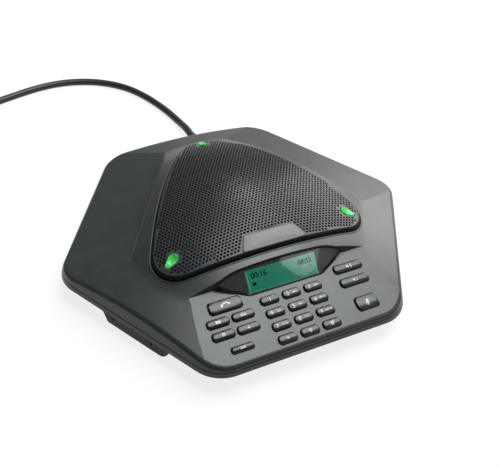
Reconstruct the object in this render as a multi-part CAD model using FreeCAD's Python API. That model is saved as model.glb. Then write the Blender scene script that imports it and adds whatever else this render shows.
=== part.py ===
"""Conference phone: a six-cornered housing with a domed loudspeaker grille, a sloping
keypad with a curved display above it, three microphone pods for feet, and a cable.

Millimetres. Z is up, the keypad faces -Y, and the origin is on the table under the centre.
"""
import FreeCAD, Part
import math
import os

V = FreeCAD.Vector
UP = V(0, 0, 1)

# Plan of the housing: a regular hexagon with rounded corners
ACROSS_FLATS = 273.0
CORNER_R = 30.0
WALL = 2.5
FACET_SIDES = (150, 30)       # directions of the two plain facets, in degrees
POD_SIDES = (90, 210, 330)    # directions of the three ridges, each over a pod
CORNERS = (0, 60, 120, 180, 240, 300)

# Heights above the table
BASE_UNDERSIDE = 2.6
PARTING = 14.4                # where the two covers meet
DRAFT = 0.28                  # lean of the upper wall, per mm of height
BASE_LEAN = 0.65              # lean of the lower cover's wall, per mm of height
EDGE_STEP = 0.8               # the lower cover stands in by this at the parting line
RIM_FILLET = 4.5

# Roof of the housing: a dome that runs out into a cone
DOME_TOP = 62.4
DOME_R = 229.3
RIDGE_D = 116.0               # the cone's line passes this radius
RIDGE_Z = 33.6                # at this height
RIDGE_FALL = 0.29
RIDGE_BLEND = 60.0

# The three facets: one sloping plane each, with a wall behind it
PANEL_D = 90.0                # the plane passes this distance from the centre
PANEL_Z = 32.93               # at this height
PANEL_SLOPE = 14.286          # degrees
FACET_FOOT = 78.0             # where the wall behind a plain facet stands
FACET_WALL = 70.0             # its angle, degrees
FACET_FOLD = 5.0              # radius of the fold between them
FRONT_FOOT = 75.0             # the same for the keypad's facet
FRONT_WALL = 80.0
FRONT_HALF = 100.0
FRONT_CORNER = 30.0

# Grille: a rounded triangle with bowed sides, its points on the ridges
GRILLE_POINT = 101.0          # radius of the housing's opening at its points
GRILLE_SIDE = 66.0            # and at the middle of its sides
GRILLE_CORNER = 23.0
GRILLE_GAP = 0.8
GRILLE_TOP = 65.5
GRILLE_THICK = 1.6
GRILLE_RIM = 2.2
GRILLE_FILLET = 1.5
HOLE_PITCH = 14.5
HOLE_SIZE = 5.4               # corner radius of a six-sided hole
HOLE_MARGIN = 4.5

# Well for the loudspeaker
COLLAR_WALL = 2.2
LEDGE_DROP = 2.2              # ledge below the housing's surface
LEDGE_THICK = 2.0
LEDGE_WIDTH = 4.0
GASKET_THICK = 0.7
GASKET_WIDTH = 2.6
TRAY_TOP = 36.5

# Loudspeaker
CONE_OPENING_R = 47.0         # round hole in the tray
FLANGE_WIDTH = 7.0
FLANGE_THICK = 1.6
BASKET_DEPTH = 17.0
BASKET_WALL = 1.2
PLATE_THICK = 2.2
MAGNET_R = 28.0
MAGNET_THICK = 3.6
YOKE_THICK = 2.0
POLE_R = 12.4
COIL_WALL = 0.4
CONE_STROKE = 1.0

# Display
LENS_TILT = 48.0              # degrees from level
LENS_D = 87.0                 # its lower edge lies on the keypad's plane here
LENS_R = 400.0                # bend of the lens from left to right
LENS_THICK = 2.0
FRAME_THICK = 2.2
EYE_HALF = 54.7               # outline of the lens, flat: half length
EYE_TIP = 13.7                # height of the two tips
EYE_TOP = 22.5                # height of the middle of the upper edge
EYE_FLAT = 31.5               # half length of the straight part of the lower edge
EYE_TOP_R = 400.0
EYE_SHOULDER = 32.0           # where the upper edge turns down
GLASS_SIZE = (59.0, 17.2)
GLASS_THICK = 1.8
GLASS_LOW = 0.7               # lower edge of the glass above the lens's lower edge
BACKLIGHT_THICK = 2.2

# Keys: name, centre across, centre up the slope, width, height, on the keypad's plane
KEY_PITCH_X = 18.3
KEY_PITCH_U = 11.02
KEY_TOP_ROW = -5.05
DIGIT_SIZE = (15.0, 7.2)
SIDE_SIZE = (17.6, 7.2)
DIGIT_ROWS = (("digit_1", "digit_2", "digit_3"), ("digit_4", "digit_5", "digit_6"),
              ("digit_7", "digit_8", "digit_9"), ("star", "digit_0", "hash"))
OTHER_KEYS = (("call", -51.7, 1.35, 26.5, 10.4),
              ("directory", -61.9, -10.35) + SIDE_SIZE,
              ("conference", -42.1, -10.35) + SIDE_SIZE,
              ("flash", -42.2, -21.15) + SIDE_SIZE,
              ("program", -61.6, -20.65) + SIDE_SIZE,
              ("menu", -52.2, -34.05, 17.6, 5.4),
              ("volume_up", 52.9, 1.85, 25.0, 7.8),
              ("volume_down", 52.5, -10.75, 25.0, 7.8),
              ("mute", 52.6, -30.75, 18.6, 11.8))
KEY_PROUD = 2.0
KEY_CORNER = 3.0
KEY_CROWN = 0.8               # bevel of a key's upper edge
KEY_GAP = 0.3                 # between a key and its hole
KEY_TRAVEL = 1.2
KEY_FLANGE = 0.8
KEY_FLANGE_THICK = 1.0
PLUNGER_HALF = 1.9
PLUNGER_LONG = 0.6
DOME_REST = 0.7               # height that a rubber dome keeps when its key is down
MAT_THICK = 0.8
BOARD_THICK = 1.6
KEYPAD_HALF = 75.0            # keypad board: half width at the top
KEYPAD_POST_FREE = 1.8        # between its lower part and the posts of the housing screws
KEYPAD_TOP = 6.5
KEYPAD_STEP = -26.3
KEYPAD_LOW = -43.0
KEYPAD_SCREWS = ((-70.5, 1.0), (70.5, 1.0), (-37.0, -31.0), (33.0, -31.0), (70.5, -20.0))

# Screws: one size throughout
SCREW_R = 1.45
SCREW_HEAD_R = 2.7
SCREW_HEAD = 2.0
SCREW_FIT = 0.08              # around a screw in the boss that holds it
SCREW_FREE = 0.3              # around it in the piece that it clamps
BOSS_R = 3.7
SCREW_CIRCLE = 137.0          # the six housing screws
SEAT_Z = 8.7                  # where the two covers meet inside the screw columns

# Pods under the ridges
POD_UNDERSIDE = 1.0
POD_HALF = 30.0
POD_FLARE = 4.0               # each end leans out by this
POD_TOP = 13.6
POD_FRONT = 1.9               # its outer face at the bottom stands in from the parting line by this
POD_DEPTH = 32.0
POD_CORNER = 4.0
POD_WALL = 2.2
PORT_R = 1.3
PORT_Z = 8.9
MIC_AT = 18.0                 # along the edge, with the sound port in front
PORT_AT = -20.5               # second sound port
FOOT_SIZE = (46.0, 17.0)
FOOT_SINK = 0.5               # depth of the foot's recess
MIC_R = 3.0
MIC_LONG = 5.0
BOOT_WALL = 1.4

# Electronics
MAIN_BOARD = (140.0, 124.0)
MAIN_BOARD_Y = 6.0
MAIN_BOARD_Z = 8.5
STANDOFF_R = 3.2
STANDOFF_INSET = 6.0

# Status lights in the grille
LIGHT_AT = 88.5
LIGHT_LONG = 13.0
LIGHT_WIDE = 9.0
LIGHT_NARROW = 5.0
LIGHT_PROUD = 0.8
LIGHT_FLANGE = 1.4
LED_BOARD = (16.0, 12.0)

# Blank plate on the grille
BADGE_TOP = (-50.5, 21.0)     # distance of its upper edge, and half length
BADGE_LOW = (-63.5, 27.0)
BADGE_PROUD = 0.6
BADGE_SINK = 0.6

# Cable
CABLE_D = 7.5
CABLE_FACES = 8               # flat sides of the cable's section
RELIEF_X = 15.5
RELIEF_Z = 8.6
RELIEF_OUT = 21.0             # length beyond the housing's edge
RELIEF_ROOT_R = 5.6
RELIEF_NECK_R = 4.3           # where it passes through the pod's wall
RELIEF_COLLAR_R = 5.2         # behind the wall
CABLE_ROUTE = ((15.5, 167.5, 8.6), (15.4, 178.5, 6.9), (14.9, 190.0, 4.6), (13.3, 201.5, 3.75),
               (10.4, 216.0, 3.75), (4.6, 236.0, 3.75), (-3.9, 258.0, 3.75), (-15.6, 279.5, 3.75),
               (-32.5, 297.3, 3.75), (-54.5, 310.6, 3.75), (-81.0, 317.6, 3.75), (-109.0, 316.3, 3.75),
               (-139.0, 308.0, 3.75), (-173.0, 296.5, 3.75), (-211.0, 286.5, 5.2), (-250.0, 281.0, 5.2))
COIL_R = 54.0                 # outermost turn, to the middle of the cable
COIL_TURNS = 3                # in each of the two layers
COIL_PITCH = 8.0
COIL_CLEAR = 30.0             # the last turn runs on level by this before it comes down
COIL_TAIL = 56.0              # and comes down over this length
TIE_THICK = 1.1
TIE_WIDE = 13.0
TIE_GAP = 0.3
PLUG_SIZE = (11.7, 8.1, 21.0)

LITTLE = 0.3                  # clearance round pieces that are laid or pushed in
KEYPAD_LOW_HALF = SCREW_CIRCLE / 2 - BOSS_R - KEYPAD_POST_FREE

APOTHEM = ACROSS_FLATS / 2
BASE_TOP = BASE_UNDERSIDE + WALL
TRAY_LOW = TRAY_TOP - WALL
COS_SLOPE = math.cos(math.radians(PANEL_SLOPE))
TAN_SLOPE = math.tan(math.radians(PANEL_SLOPE))


def box(x0, x1, y0, y1, z0, z1):
    return Part.makeBox(x1 - x0, y1 - y0, z1 - z0, V(x0, y0, z0))


def cylinder(radius, z0, z1, x=0.0, y=0.0):
    return Part.makeCylinder(radius, z1 - z0, V(x, y, z0))


def octagon(radius, z0, z1, x=0.0, y=0.0):
    """A hidden post, screw or hole: eight flats at the radius, instead of a round."""
    far = radius / math.cos(math.pi / 8)
    centre = V(x, y, 0)
    corners = [centre + polar(far, 22.5 + 45 * k, z0) for k in range(8)]
    return Part.Face(Part.makePolygon(corners + corners[:1])).extrude(V(0, 0, z1 - z0))


def turned(points):
    """A solid of revolution about Z from (radius, height) points."""
    corners = [V(r, 0, z) for r, z in points]
    return Part.Face(Part.makePolygon(corners + corners[:1])).revolve(V(), UP, 360)


def washer(outer, inner, z0, z1):
    return turned(((inner, z0), (outer, z0), (outer, z1), (inner, z1)))


def rounded_wire(width, height, radius, z):
    """A rectangle with arcs at its corners, about the origin."""
    half_w = width / 2
    half_h = height / 2
    edges = []
    for turn in range(4):
        a, b = (half_w, half_h) if turn % 2 == 0 else (half_h, half_w)
        centre = V(a - radius, b - radius, z)
        arc = Part.Arc(centre + V(radius, 0, 0), centre + V(radius, radius, 0).normalize() * radius,
                       centre + V(0, radius, 0)).toShape()
        line = Part.makeLine(centre + V(0, radius, 0), V(-(a - radius), b, z))
        for edge in (arc, line):
            edge.rotate(V(), UP, 90 * turn)
            edges.append(edge)
    return Part.Wire(Part.__sortEdges__(edges))


def slab(width, height, radius, z0, z1, x=0.0, y=0.0):
    """An upright plate with a rounded rectangular outline."""
    plate = Part.Face(rounded_wire(width, height, radius, z0)).extrude(V(0, 0, z1 - z0))
    plate.translate(V(x, y, 0))
    return plate


def plate_from(points, z0, z1):
    """An upright plate with straight sides through (x, y) points."""
    corners = [V(x, y, z0) for x, y in points]
    return Part.Face(Part.makePolygon(corners + corners[:1])).extrude(V(0, 0, z1 - z0))


def turn(shape, degrees):
    copy = shape.copy()
    copy.rotate(V(), UP, degrees)
    return copy


def to_side(shape, side):
    """Turn a shape that was made for the front, which faces -Y, to another side."""
    return turn(shape, side - 270)


def polar(radius, degrees, z=0.0):
    return V(radius * math.cos(math.radians(degrees)), radius * math.sin(math.radians(degrees)), z)


def fuse(shapes):
    return shapes[0].multiFuse(shapes[1:]).removeSplitter()


def frustum(low, high):
    """A solid with flat sides between two outlines, both counter-clockwise from above."""
    count = len(low)
    faces = [Part.Face(Part.makePolygon(low[::-1] + low[-1:])),
             Part.Face(Part.makePolygon(high + high[:1]))]
    for i in range(count):
        j = (i + 1) % count
        faces.append(Part.Face(Part.makePolygon([low[i], low[j], high[j], high[i], low[i]])))
    shell = Part.Shell(faces)
    shell.sewShape()
    return Part.Solid(shell)


def round_upright(solid, radius, keep=lambda edge: True):
    """Round the edges that run from a frustum's lower outline to its upper one."""
    edges = [edge for edge in solid.Edges
             if abs(edge.Vertexes[0].Z - edge.Vertexes[-1].Z) > 1 and keep(edge)]
    return solid.makeFillet(radius, edges)


def hexagon(apothem, z):
    far = apothem / math.cos(math.pi / 6)
    return [polar(far, corner, z) for corner in CORNERS]


def hexagon_block(low, z0, high, z1, corner):
    return round_upright(frustum(hexagon(low, z0), hexagon(high, z1)), corner)


def dome(top):
    """The ball whose top is the dome's surface, moved up or down."""
    return Part.makeSphere(DOME_R, V(0, 0, top - DOME_R))


def cover_apothem(z, inset=0.0):
    """Distance of the upper cover's wall from the centre, or of a face inset from it."""
    return APOTHEM - DRAFT * (z - PARTING) - inset * math.hypot(1, DRAFT)


def base_apothem(z, inset=0.0):
    return APOTHEM - EDGE_STEP - BASE_LEAN * (PARTING - z) - inset * math.hypot(1, BASE_LEAN)


def roof(inset):
    """Everything under the roof: dome, concave blend and cone, turned about Z."""
    centre_z = DOME_TOP - DOME_R
    radius = DOME_R - inset
    blend = RIDGE_BLEND + inset
    lean = math.hypot(1, RIDGE_FALL)
    line_z = RIDGE_Z + RIDGE_FALL * RIDGE_D - inset * lean
    high = line_z + blend * lean - centre_z
    root = (high * RIDGE_FALL) ** 2 - lean ** 2 * (high ** 2 - (radius + blend) ** 2)
    blend_r = (high * RIDGE_FALL + math.sqrt(root)) / lean ** 2
    middle = V(blend_r, 0, line_z + blend * lean - RIDGE_FALL * blend_r)
    dome_centre = V(0, 0, centre_z)
    on_dome = dome_centre + (middle - dome_centre).normalize() * radius
    on_cone = middle - V(RIDGE_FALL, 0, 1).normalize() * blend
    between = middle + ((on_dome - middle) + (on_cone - middle)).normalize() * blend
    angle = math.atan2(on_dome.x, on_dome.z - centre_z) / 2
    half_way = dome_centre + V(math.sin(angle), 0, math.cos(angle)) * radius
    far = APOTHEM * 1.3
    outer = V(far, 0, line_z - RIDGE_FALL * far)
    corners = (outer, V(far, 0, -10), V(0, 0, -10), V(0, 0, centre_z + radius))
    edges = [Part.Arc(corners[3], half_way, on_dome).toShape(),
             Part.Arc(on_dome, between, on_cone).toShape(), Part.makeLine(on_cone, outer)]
    edges += [Part.makeLine(corners[i], corners[i + 1]) for i in range(3)]
    return Part.Face(Part.Wire(edges)).revolve(V(), UP, 360)


def panel_z(d, inset=0.0):
    """Height of a facet's plane at a distance from the centre, or of a plane inset from it."""
    return PANEL_Z - TAN_SLOPE * (d - PANEL_D) - inset / COS_SLOPE


def facet_cut(inset):
    """What a plain facet takes away: all above its plane and outside the wall behind it."""
    lean = 1 / math.tan(math.radians(FACET_WALL))
    wall_d = FACET_FOOT - inset / math.sin(math.radians(FACET_WALL)) + panel_z(FACET_FOOT) * lean
    fold_d = (wall_d - panel_z(0, inset) * lean) / (1 - TAN_SLOPE * lean)
    fold_z = panel_z(fold_d, inset)
    far = APOTHEM * 1.4
    high = DOME_TOP + 20
    side = far / 2 * 1.6
    points = ((fold_d, fold_z), (far, panel_z(far, inset)), (far, high), (wall_d - high * lean, high))
    corners = [V(-side, -d, z) for d, z in points]
    solid = Part.Face(Part.makePolygon(corners + corners[:1])).extrude(V(2 * side, 0, 0))
    fold = [edge for edge in solid.Edges
            if edge.Length > side and abs(edge.Vertexes[0].Z - fold_z) < 0.01]
    return solid.makeFillet(FACET_FOLD + inset, fold)


def front_cut(inset):
    """What the keypad's facet takes away: a leaning wall with two round corners."""
    lean = 1 / math.tan(math.radians(FRONT_WALL))
    out = inset * math.hypot(1, lean)
    far = APOTHEM * 1.4
    rings = []
    for z in (0, DOME_TOP + 20):
        near = FRONT_FOOT - out - (z - panel_z(FRONT_FOOT)) * lean
        half = FRONT_HALF + out + (z - panel_z(FRONT_FOOT)) * lean
        rings.append([V(-half, -far, z), V(half, -far, z), V(half, -near, z), V(-half, -near, z)])
    def near_corner(edge):
        return edge.Vertexes[0].Y > -far / 2 and edge.Vertexes[-1].Y > -far / 2
    wall = round_upright(frustum(*rings), FRONT_CORNER + inset, near_corner)
    points = ((0, panel_z(0, inset)), (far, panel_z(far, inset)), (far, 100), (0, 100))
    corners = [V(-far, -d, z) for d, z in points]
    above = Part.Face(Part.makePolygon(corners + corners[:1])).extrude(V(2 * far, 0, 0))
    return wall.common(above)


def wall_block(inset, low):
    high = DOME_TOP + 5
    return hexagon_block(cover_apothem(low, inset), low, cover_apothem(high, inset), high,
                         CORNER_R - inset)


def soften_rim(form):
    """Round the edge where the leaning wall meets what lies on top of it."""
    def is_wall(face):
        middle = face.CenterOfMass
        normal = face.normalAt(*face.Surface.parameter(middle))
        return math.hypot(middle.x, middle.y) > APOTHEM * 0.9 and abs(normal.z) < 0.6
    tops = [face for face in form.Faces if not is_wall(face) and face.BoundBox.ZMax > PARTING + 1]
    edges = [edge for edge in form.Edges
             if edge.BoundBox.ZMax > PARTING + 1
             and any(edge.isSame(other) for face in tops for other in face.Edges)
             and any(edge.isSame(other) for face in form.Faces if is_wall(face) for other in face.Edges)]
    return form.makeFillet(RIM_FILLET, edges)


def soft_side(side):
    """What lies outside one facet's rounded rim, beyond the wall behind the facet."""
    far = APOTHEM * 1.4
    points = ((-far, panel_z(-far)), (far, panel_z(far)), (far, -20), (-far, -20))
    corners = [V(-far, -d, z) for d, z in points]
    below = Part.Face(Part.makePolygon(corners + corners[:1])).extrude(V(2 * far, 0, 0))
    body = soften_rim(wall_block(0, PARTING).common(to_side(below, side)))
    margin = to_side(box(-far, far, -far, -APOTHEM * 0.84, PARTING, DOME_TOP + 20), side)
    return margin.cut(body)


def shell_form(inset, low):
    """The upper cover's outside, or the space inside it, as one solid."""
    form = wall_block(inset, low).common(roof(inset))
    if inset == 0:
        form = soften_rim(form)
        for side in FACET_SIDES + (270,):
            form = form.cut(soft_side(side))
    for side in FACET_SIDES:
        form = form.cut(to_side(facet_cut(inset), side))
    return form.cut(front_cut(inset))


def outline_wire(grow, z=0.0):
    """The grille's outline, grown or shrunk: three corner arcs and three side arcs."""
    reach = GRILLE_POINT - GRILLE_CORNER
    inner = GRILLE_SIDE - GRILLE_CORNER
    side_centre = (reach ** 2 - inner ** 2) / (2 * (inner - reach / 2))
    side_r = side_centre + GRILLE_SIDE + grow
    corner_r = GRILLE_CORNER + grow
    edges = []
    for point in POD_SIDES:
        corner = polar(reach, point, z)
        before = polar(side_centre, point - 60 + 180, z)
        after = polar(side_centre, point + 60 + 180, z)
        start = before + (corner - before).normalize() * side_r
        end = after + (corner - after).normalize() * side_r
        far = after + polar(side_r, point + 60)
        follow = polar(reach, point + 120, z)
        next_start = after + (follow - after).normalize() * side_r
        edges.append(Part.Arc(start, polar(reach + corner_r, point, z), end).toShape())
        edges.append(Part.Arc(end, far, next_start).toShape())
    return Part.Wire(edges)


def outline_block(grow, z0, z1):
    return Part.Face(outline_wire(grow, z0)).extrude(V(0, 0, z1 - z0))


def sink_screw(x, y, seat, length, up=True):
    """A screw under a seat, its shank going up, or down if up is false."""
    way = 1 if up else -1
    head_end = seat - way * SCREW_HEAD
    shank_end = seat + way * length
    head = octagon(SCREW_HEAD_R, min(seat, head_end), max(seat, head_end), x, y)
    shank = octagon(SCREW_R, min(seat, shank_end), max(seat, shank_end), x, y)
    return head.fuse(shank).removeSplitter()


def on_panel(shape):
    """Move a shape from the flat to the keypad's plane: x across, y up the slope."""
    shape.rotate(V(), V(1, 0, 0), PANEL_SLOPE)
    shape.translate(V(0, -PANEL_D, PANEL_Z))
    return shape


def on_lens(shape):
    """Move a shape from the flat to the lens's plane, the origin in its lower edge."""
    shape.rotate(V(), V(1, 0, 0), LENS_TILT)
    shape.translate(V(0, -LENS_D, panel_z(LENS_D)))
    return shape


def all_keys():
    """Name, centre and size of every key."""
    keys = []
    for row, names in enumerate(DIGIT_ROWS):
        for column, name in enumerate(names):
            centre = ((column - 1) * KEY_PITCH_X, KEY_TOP_ROW - row * KEY_PITCH_U)
            keys.append((name,) + centre + DIGIT_SIZE)
    return keys + list(OTHER_KEYS)


# Levels below the keypad's plane, from the wall down to the board
FLANGE_UP = -WALL - 0.1
FLANGE_LOW = FLANGE_UP - KEY_FLANGE_THICK
PLUNGER_LOW = FLANGE_LOW - PLUNGER_LONG
DOME_UP = PLUNGER_LOW - 0.1
DOME_HEIGHT = KEY_TRAVEL + DOME_REST
MAT_UP = DOME_UP - DOME_HEIGHT
BOARD_UP = MAT_UP - MAT_THICK
BOARD_LOW = BOARD_UP - BOARD_THICK


def key_outline(x, u, width, height, z, grow=0.0):
    """A key's rectangle with its corners cut off, counter-clockwise from above."""
    half_w = width / 2 + grow
    half_h = height / 2 + grow
    cut = KEY_CORNER * min(1, height / DIGIT_SIZE[1]) * (2 - math.sqrt(2)) + grow * (2 - math.sqrt(2))
    quarter = ((half_w, half_h - cut), (half_w - cut, half_h))
    signs = ((1, 1), (-1, 1), (-1, -1), (1, -1))
    outline = []
    for turn_index, (a, b) in enumerate(signs):
        pair = quarter if turn_index % 2 == 0 else quarter[::-1]
        outline += [V(x + a * px, u + b * py, z) for px, py in pair]
    return outline


def key(x, u, width, height):
    """A cap with a bevelled top, a flange under the wall, and a post that presses the dome."""
    shoulder = KEY_PROUD - KEY_CROWN
    body = frustum(key_outline(x, u, width, height, FLANGE_LOW), key_outline(x, u, width, height, shoulder))
    crown = frustum(key_outline(x, u, width, height, shoulder),
                    key_outline(x, u, width, height, KEY_PROUD, -KEY_CROWN))
    half_w = width / 2 + KEY_FLANGE
    half_h = height / 2 + KEY_FLANGE
    flange = box(x - half_w, x + half_w, u - half_h, u + half_h, FLANGE_LOW, FLANGE_UP)
    post = box(x - PLUNGER_HALF, x + PLUNGER_HALF, u - PLUNGER_HALF, u + PLUNGER_HALF,
               PLUNGER_LOW, FLANGE_LOW)
    return on_panel(fuse([body, crown, flange, post]))


def key_hole(x, u, width, height):
    low = key_outline(x, u, width, height, -WALL - 3, KEY_GAP)
    high = key_outline(x, u, width, height, 10, KEY_GAP)
    return on_panel(frustum(low, high))


def eye_wire(grow):
    """The lens's outline: straight below, rising to two tips, and bowed above."""
    tip = V(EYE_HALF, EYE_TIP, 0)
    top = V(0, EYE_TOP, 0)
    drop = EYE_TOP_R - math.sqrt(EYE_TOP_R ** 2 - EYE_SHOULDER ** 2)
    shoulder = V(EYE_SHOULDER, EYE_TOP - drop, 0)
    tangent = V(math.sqrt(EYE_TOP_R ** 2 - EYE_SHOULDER ** 2), -EYE_SHOULDER, 0).normalize()
    chord = tip - shoulder
    normal = V(-tangent.y, tangent.x, 0) * -1
    end_r = chord.Length ** 2 / (2 * chord.dot(normal))
    centre = shoulder + normal * end_r
    middle = centre + ((shoulder - centre) + (tip - centre)).normalize() * end_r
    low = V(EYE_FLAT, 0, 0)
    rise = V(EYE_HALF - 5.6, EYE_TIP - 4.2, 0)
    def left(point):
        return V(-point.x, point.y, 0)
    edges = [Part.makeLine(left(low), low),
             Part.Arc(low, V(43.7, 6.0, 0), rise).toShape(),
             Part.makeLine(rise, tip),
             Part.Arc(tip, middle, shoulder).toShape(),
             Part.Arc(shoulder, top, left(shoulder)).toShape(),
             Part.Arc(left(shoulder), left(middle), left(tip)).toShape(),
             Part.makeLine(left(tip), left(rise)),
             Part.Arc(left(rise), V(-43.7, 6.0, 0), left(low)).toShape()]
    wire = Part.Wire(edges)
    return wire.makeOffset2D(grow, 2) if grow else wire


def eye_block(grow):
    block = Part.Face(eye_wire(grow)).extrude(V(0, 0, 40))
    block.translate(V(0, 0, -20))
    return block


def lens_ball(depth):
    """The round bar whose surface is the lens, or lies deeper by the depth."""
    return Part.makeCylinder(LENS_R - depth, 200, V(0, -100, -LENS_R), V(0, 1, 0))


def eye_layer(grow, near, far):
    """The part of the eye between two depths under the lens's surface."""
    return on_lens(eye_block(grow).common(lens_ball(near)).cut(lens_ball(far)))


GLASS_UP = -LENS_THICK - 1.6
GLASS_DOWN = GLASS_UP - GLASS_THICK
FRAME_SAG = LENS_R - math.sqrt(LENS_R ** 2 - (GLASS_SIZE[0] / 2 + 2) ** 2)
BACKLIGHT_UP = -LENS_THICK - FRAME_THICK - FRAME_SAG - 0.1
BACKLIGHT_DOWN = BACKLIGHT_UP - BACKLIGHT_THICK


def glass_block(grow, z0, z1):
    width, height = GLASS_SIZE
    return on_lens(box(-width / 2 - grow, width / 2 + grow, GLASS_LOW - grow, GLASS_LOW + height + grow,
                       z0, z1))


def display_frame():
    frame = eye_layer(0, LENS_THICK + 0.1, LENS_THICK + FRAME_THICK)
    return frame.cut(glass_block(LITTLE, -20, 5))


def ribbon(points, thick, width):
    """A flat lead of even thickness across X, along (y, z) points."""
    near = []
    far = []
    for i, point in enumerate(points):
        before = (point - points[i - 1]).normalize() if i else (points[1] - point).normalize()
        after = (points[i + 1] - point).normalize() if i + 1 < len(points) else before
        normal = V(0, -(before + after).z, (before + after).y).normalize()
        reach = thick / 2 / math.cos(before.getAngle(after) / 2)
        near.append(point + normal * reach - V(width / 2, 0, 0))
        far.append(point - normal * reach - V(width / 2, 0, 0))
    corners = near + far[::-1]
    return Part.Face(Part.makePolygon(corners + corners[:1])).extrude(V(width, 0, 0))


def display_cable():
    """A flat lead from behind the display to the underside of the keypad board."""
    start = on_lens(Part.Vertex(0, 6.0, BACKLIGHT_DOWN)).Point
    end = on_panel(Part.Vertex(0, KEYPAD_TOP - 9.0, BOARD_LOW)).Point
    back = start.y + 1.6
    low = end.z - 2.6
    route = [start, V(0, back, start.z - 1.5), V(0, back, low), V(0, end.y + 1.5, low), end]
    lead = ribbon(route, 0.4, 14.0)
    display_side = on_lens(box(-10, 10, 0, 20, BACKLIGHT_DOWN, 5))
    board_side = on_panel(box(-10, 10, -10, 10, BOARD_LOW, 5))
    return lead.cut(display_side.fuse(board_side))


def keypad_plate(inset, z0, z1):
    """The outline of the keypad's board and mat, narrower between the housing screws."""
    wide = KEYPAD_HALF - inset
    narrow = KEYPAD_LOW_HALF - inset
    step = KEYPAD_STEP + inset
    low = KEYPAD_LOW + inset
    return plate_from(((-wide, KEYPAD_TOP), (-wide, step), (-narrow, step), (-narrow, low),
                       (narrow, low), (narrow, step), (wide, step), (wide, KEYPAD_TOP)), z0, z1)


def keypad_mat():
    sheet = keypad_plate(1.0, BOARD_UP, MAT_UP)
    for x, u in KEYPAD_SCREWS:
        sheet = sheet.cut(octagon(BOSS_R - 0.3, BOARD_UP - 1, MAT_UP + 1, x, u))
    domes = []
    for name, x, u, width, height in all_keys():
        foot = PLUNGER_HALF + 1.0
        low = [V(x + a * foot, u + b * foot, MAT_UP) for a, b in ((-1, -1), (1, -1), (1, 1), (-1, 1))]
        high = [V(x + a * PLUNGER_HALF, u + b * PLUNGER_HALF, DOME_UP)
                for a, b in ((-1, -1), (1, -1), (1, 1), (-1, 1))]
        domes.append(frustum(low, high))
    return on_panel(fuse([sheet] + domes))


def keypad_board():
    board = keypad_plate(0, BOARD_LOW, BOARD_UP)
    for x, u in KEYPAD_SCREWS:
        board = board.cut(octagon(SCREW_R + SCREW_FREE, BOARD_LOW - 1, BOARD_UP + 1, x, u))
    return on_panel(board)


def keypad_screws():
    return [on_panel(sink_screw(x, u, BOARD_LOW, 6.0)) for x, u in KEYPAD_SCREWS]


def keypad_bosses():
    """Posts under the keypad's wall that hold the board and let the mat lie between."""
    posts = []
    for x, u in KEYPAD_SCREWS:
        post = octagon(BOSS_R - 0.9, BOARD_UP, -WALL + 0.5, x, u)
        posts.append(on_panel(post.cut(octagon(SCREW_R + SCREW_FIT, BOARD_UP - 1, BOARD_UP + 5.0, x, u))))
    return posts


def speaker_screw_places():
    return [polar(CONE_OPENING_R + FLANGE_WIDTH / 2, angle) for angle in (45, 135, 225, 315)]


def well():
    """Collar under the grille's opening, with the ledge for its seal and the tray below."""
    solid = outline_block(COLLAR_WALL, TRAY_LOW, DOME_TOP).common(roof(WALL / 2))
    space = outline_block(-LEDGE_WIDTH, TRAY_TOP, DOME_TOP + 5)
    above = outline_block(0, 0, DOME_TOP + 5).cut(dome(DOME_TOP - LEDGE_DROP))
    below = outline_block(0, TRAY_TOP, DOME_TOP + 5).common(dome(DOME_TOP - LEDGE_DROP - LEDGE_THICK))
    solid = solid.cut(space).cut(above).cut(below)
    for place in speaker_screw_places():
        boss = octagon(BOSS_R - 0.5, TRAY_LOW - 4.0, TRAY_LOW + 1, place.x, place.y)
        hole = octagon(SCREW_R + SCREW_FIT, TRAY_LOW - 5.0, TRAY_TOP + 1, place.x, place.y)
        solid = solid.fuse(boss).cut(hole)
    return solid.cut(cylinder(CONE_OPENING_R, 0, DOME_TOP))


def screw_places():
    return [polar(SCREW_CIRCLE, corner) for corner in CORNERS]


def cover_bosses():
    """Posts that hang from the roof and take the six housing screws."""
    inside = shell_form(WALL / 2, PARTING - 2)
    posts = []
    for place in screw_places():
        post = octagon(BOSS_R, PARTING - 1, DOME_TOP, place.x, place.y).common(inside)
        low = octagon(BOSS_R, SEAT_Z, PARTING, place.x, place.y)
        hole = octagon(SCREW_R + SCREW_FIT, SEAT_Z - 1, SEAT_Z + 11.0, place.x, place.y)
        posts.append(post.fuse(low).cut(hole))
    return posts


def top_cover():
    outside = shell_form(0, PARTING)
    inside = shell_form(WALL, PARTING - 2)
    cover = outside.cut(inside)
    opening = outline_block(0, TRAY_LOW, DOME_TOP + 5)
    cover = cover.cut(opening)
    eye = eye_layer(LITTLE, -12, LENS_THICK + FRAME_THICK + 0.2)
    cover = cover.cut(eye)
    cover = cover.cut(glass_block(1.0 + LITTLE, BACKLIGHT_DOWN - 0.3, 5))
    for name, x, u, width, height in all_keys():
        cover = cover.cut(key_hole(x, u, width, height))
    return fuse([cover, well()] + cover_bosses() + keypad_bosses())


def base_block(low, high, inset):
    return hexagon_block(base_apothem(low, inset), low, base_apothem(high, inset), high,
                         CORNER_R - EDGE_STEP - inset)


def pod_block(inset, low, high, deep):
    """One pod for the front side: ends that lean out and a nearly upright face."""
    rings = []
    for z in (low, high):
        share = (z - POD_UNDERSIDE) / (POD_TOP - POD_UNDERSIDE)
        half = POD_HALF + POD_FLARE * share - inset
        face = APOTHEM - POD_FRONT + 0.6 * share - inset
        rings.append([V(-half, -face, z), V(half, -face, z), V(half, -deep, z), V(-half, -deep, z)])
    def outer(edge):
        return edge.Vertexes[0].Y < -deep - 1
    return round_upright(frustum(*rings), POD_CORNER - inset, outer)


def foot_d():
    return APOTHEM - POD_FRONT - POD_DEPTH / 2


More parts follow.
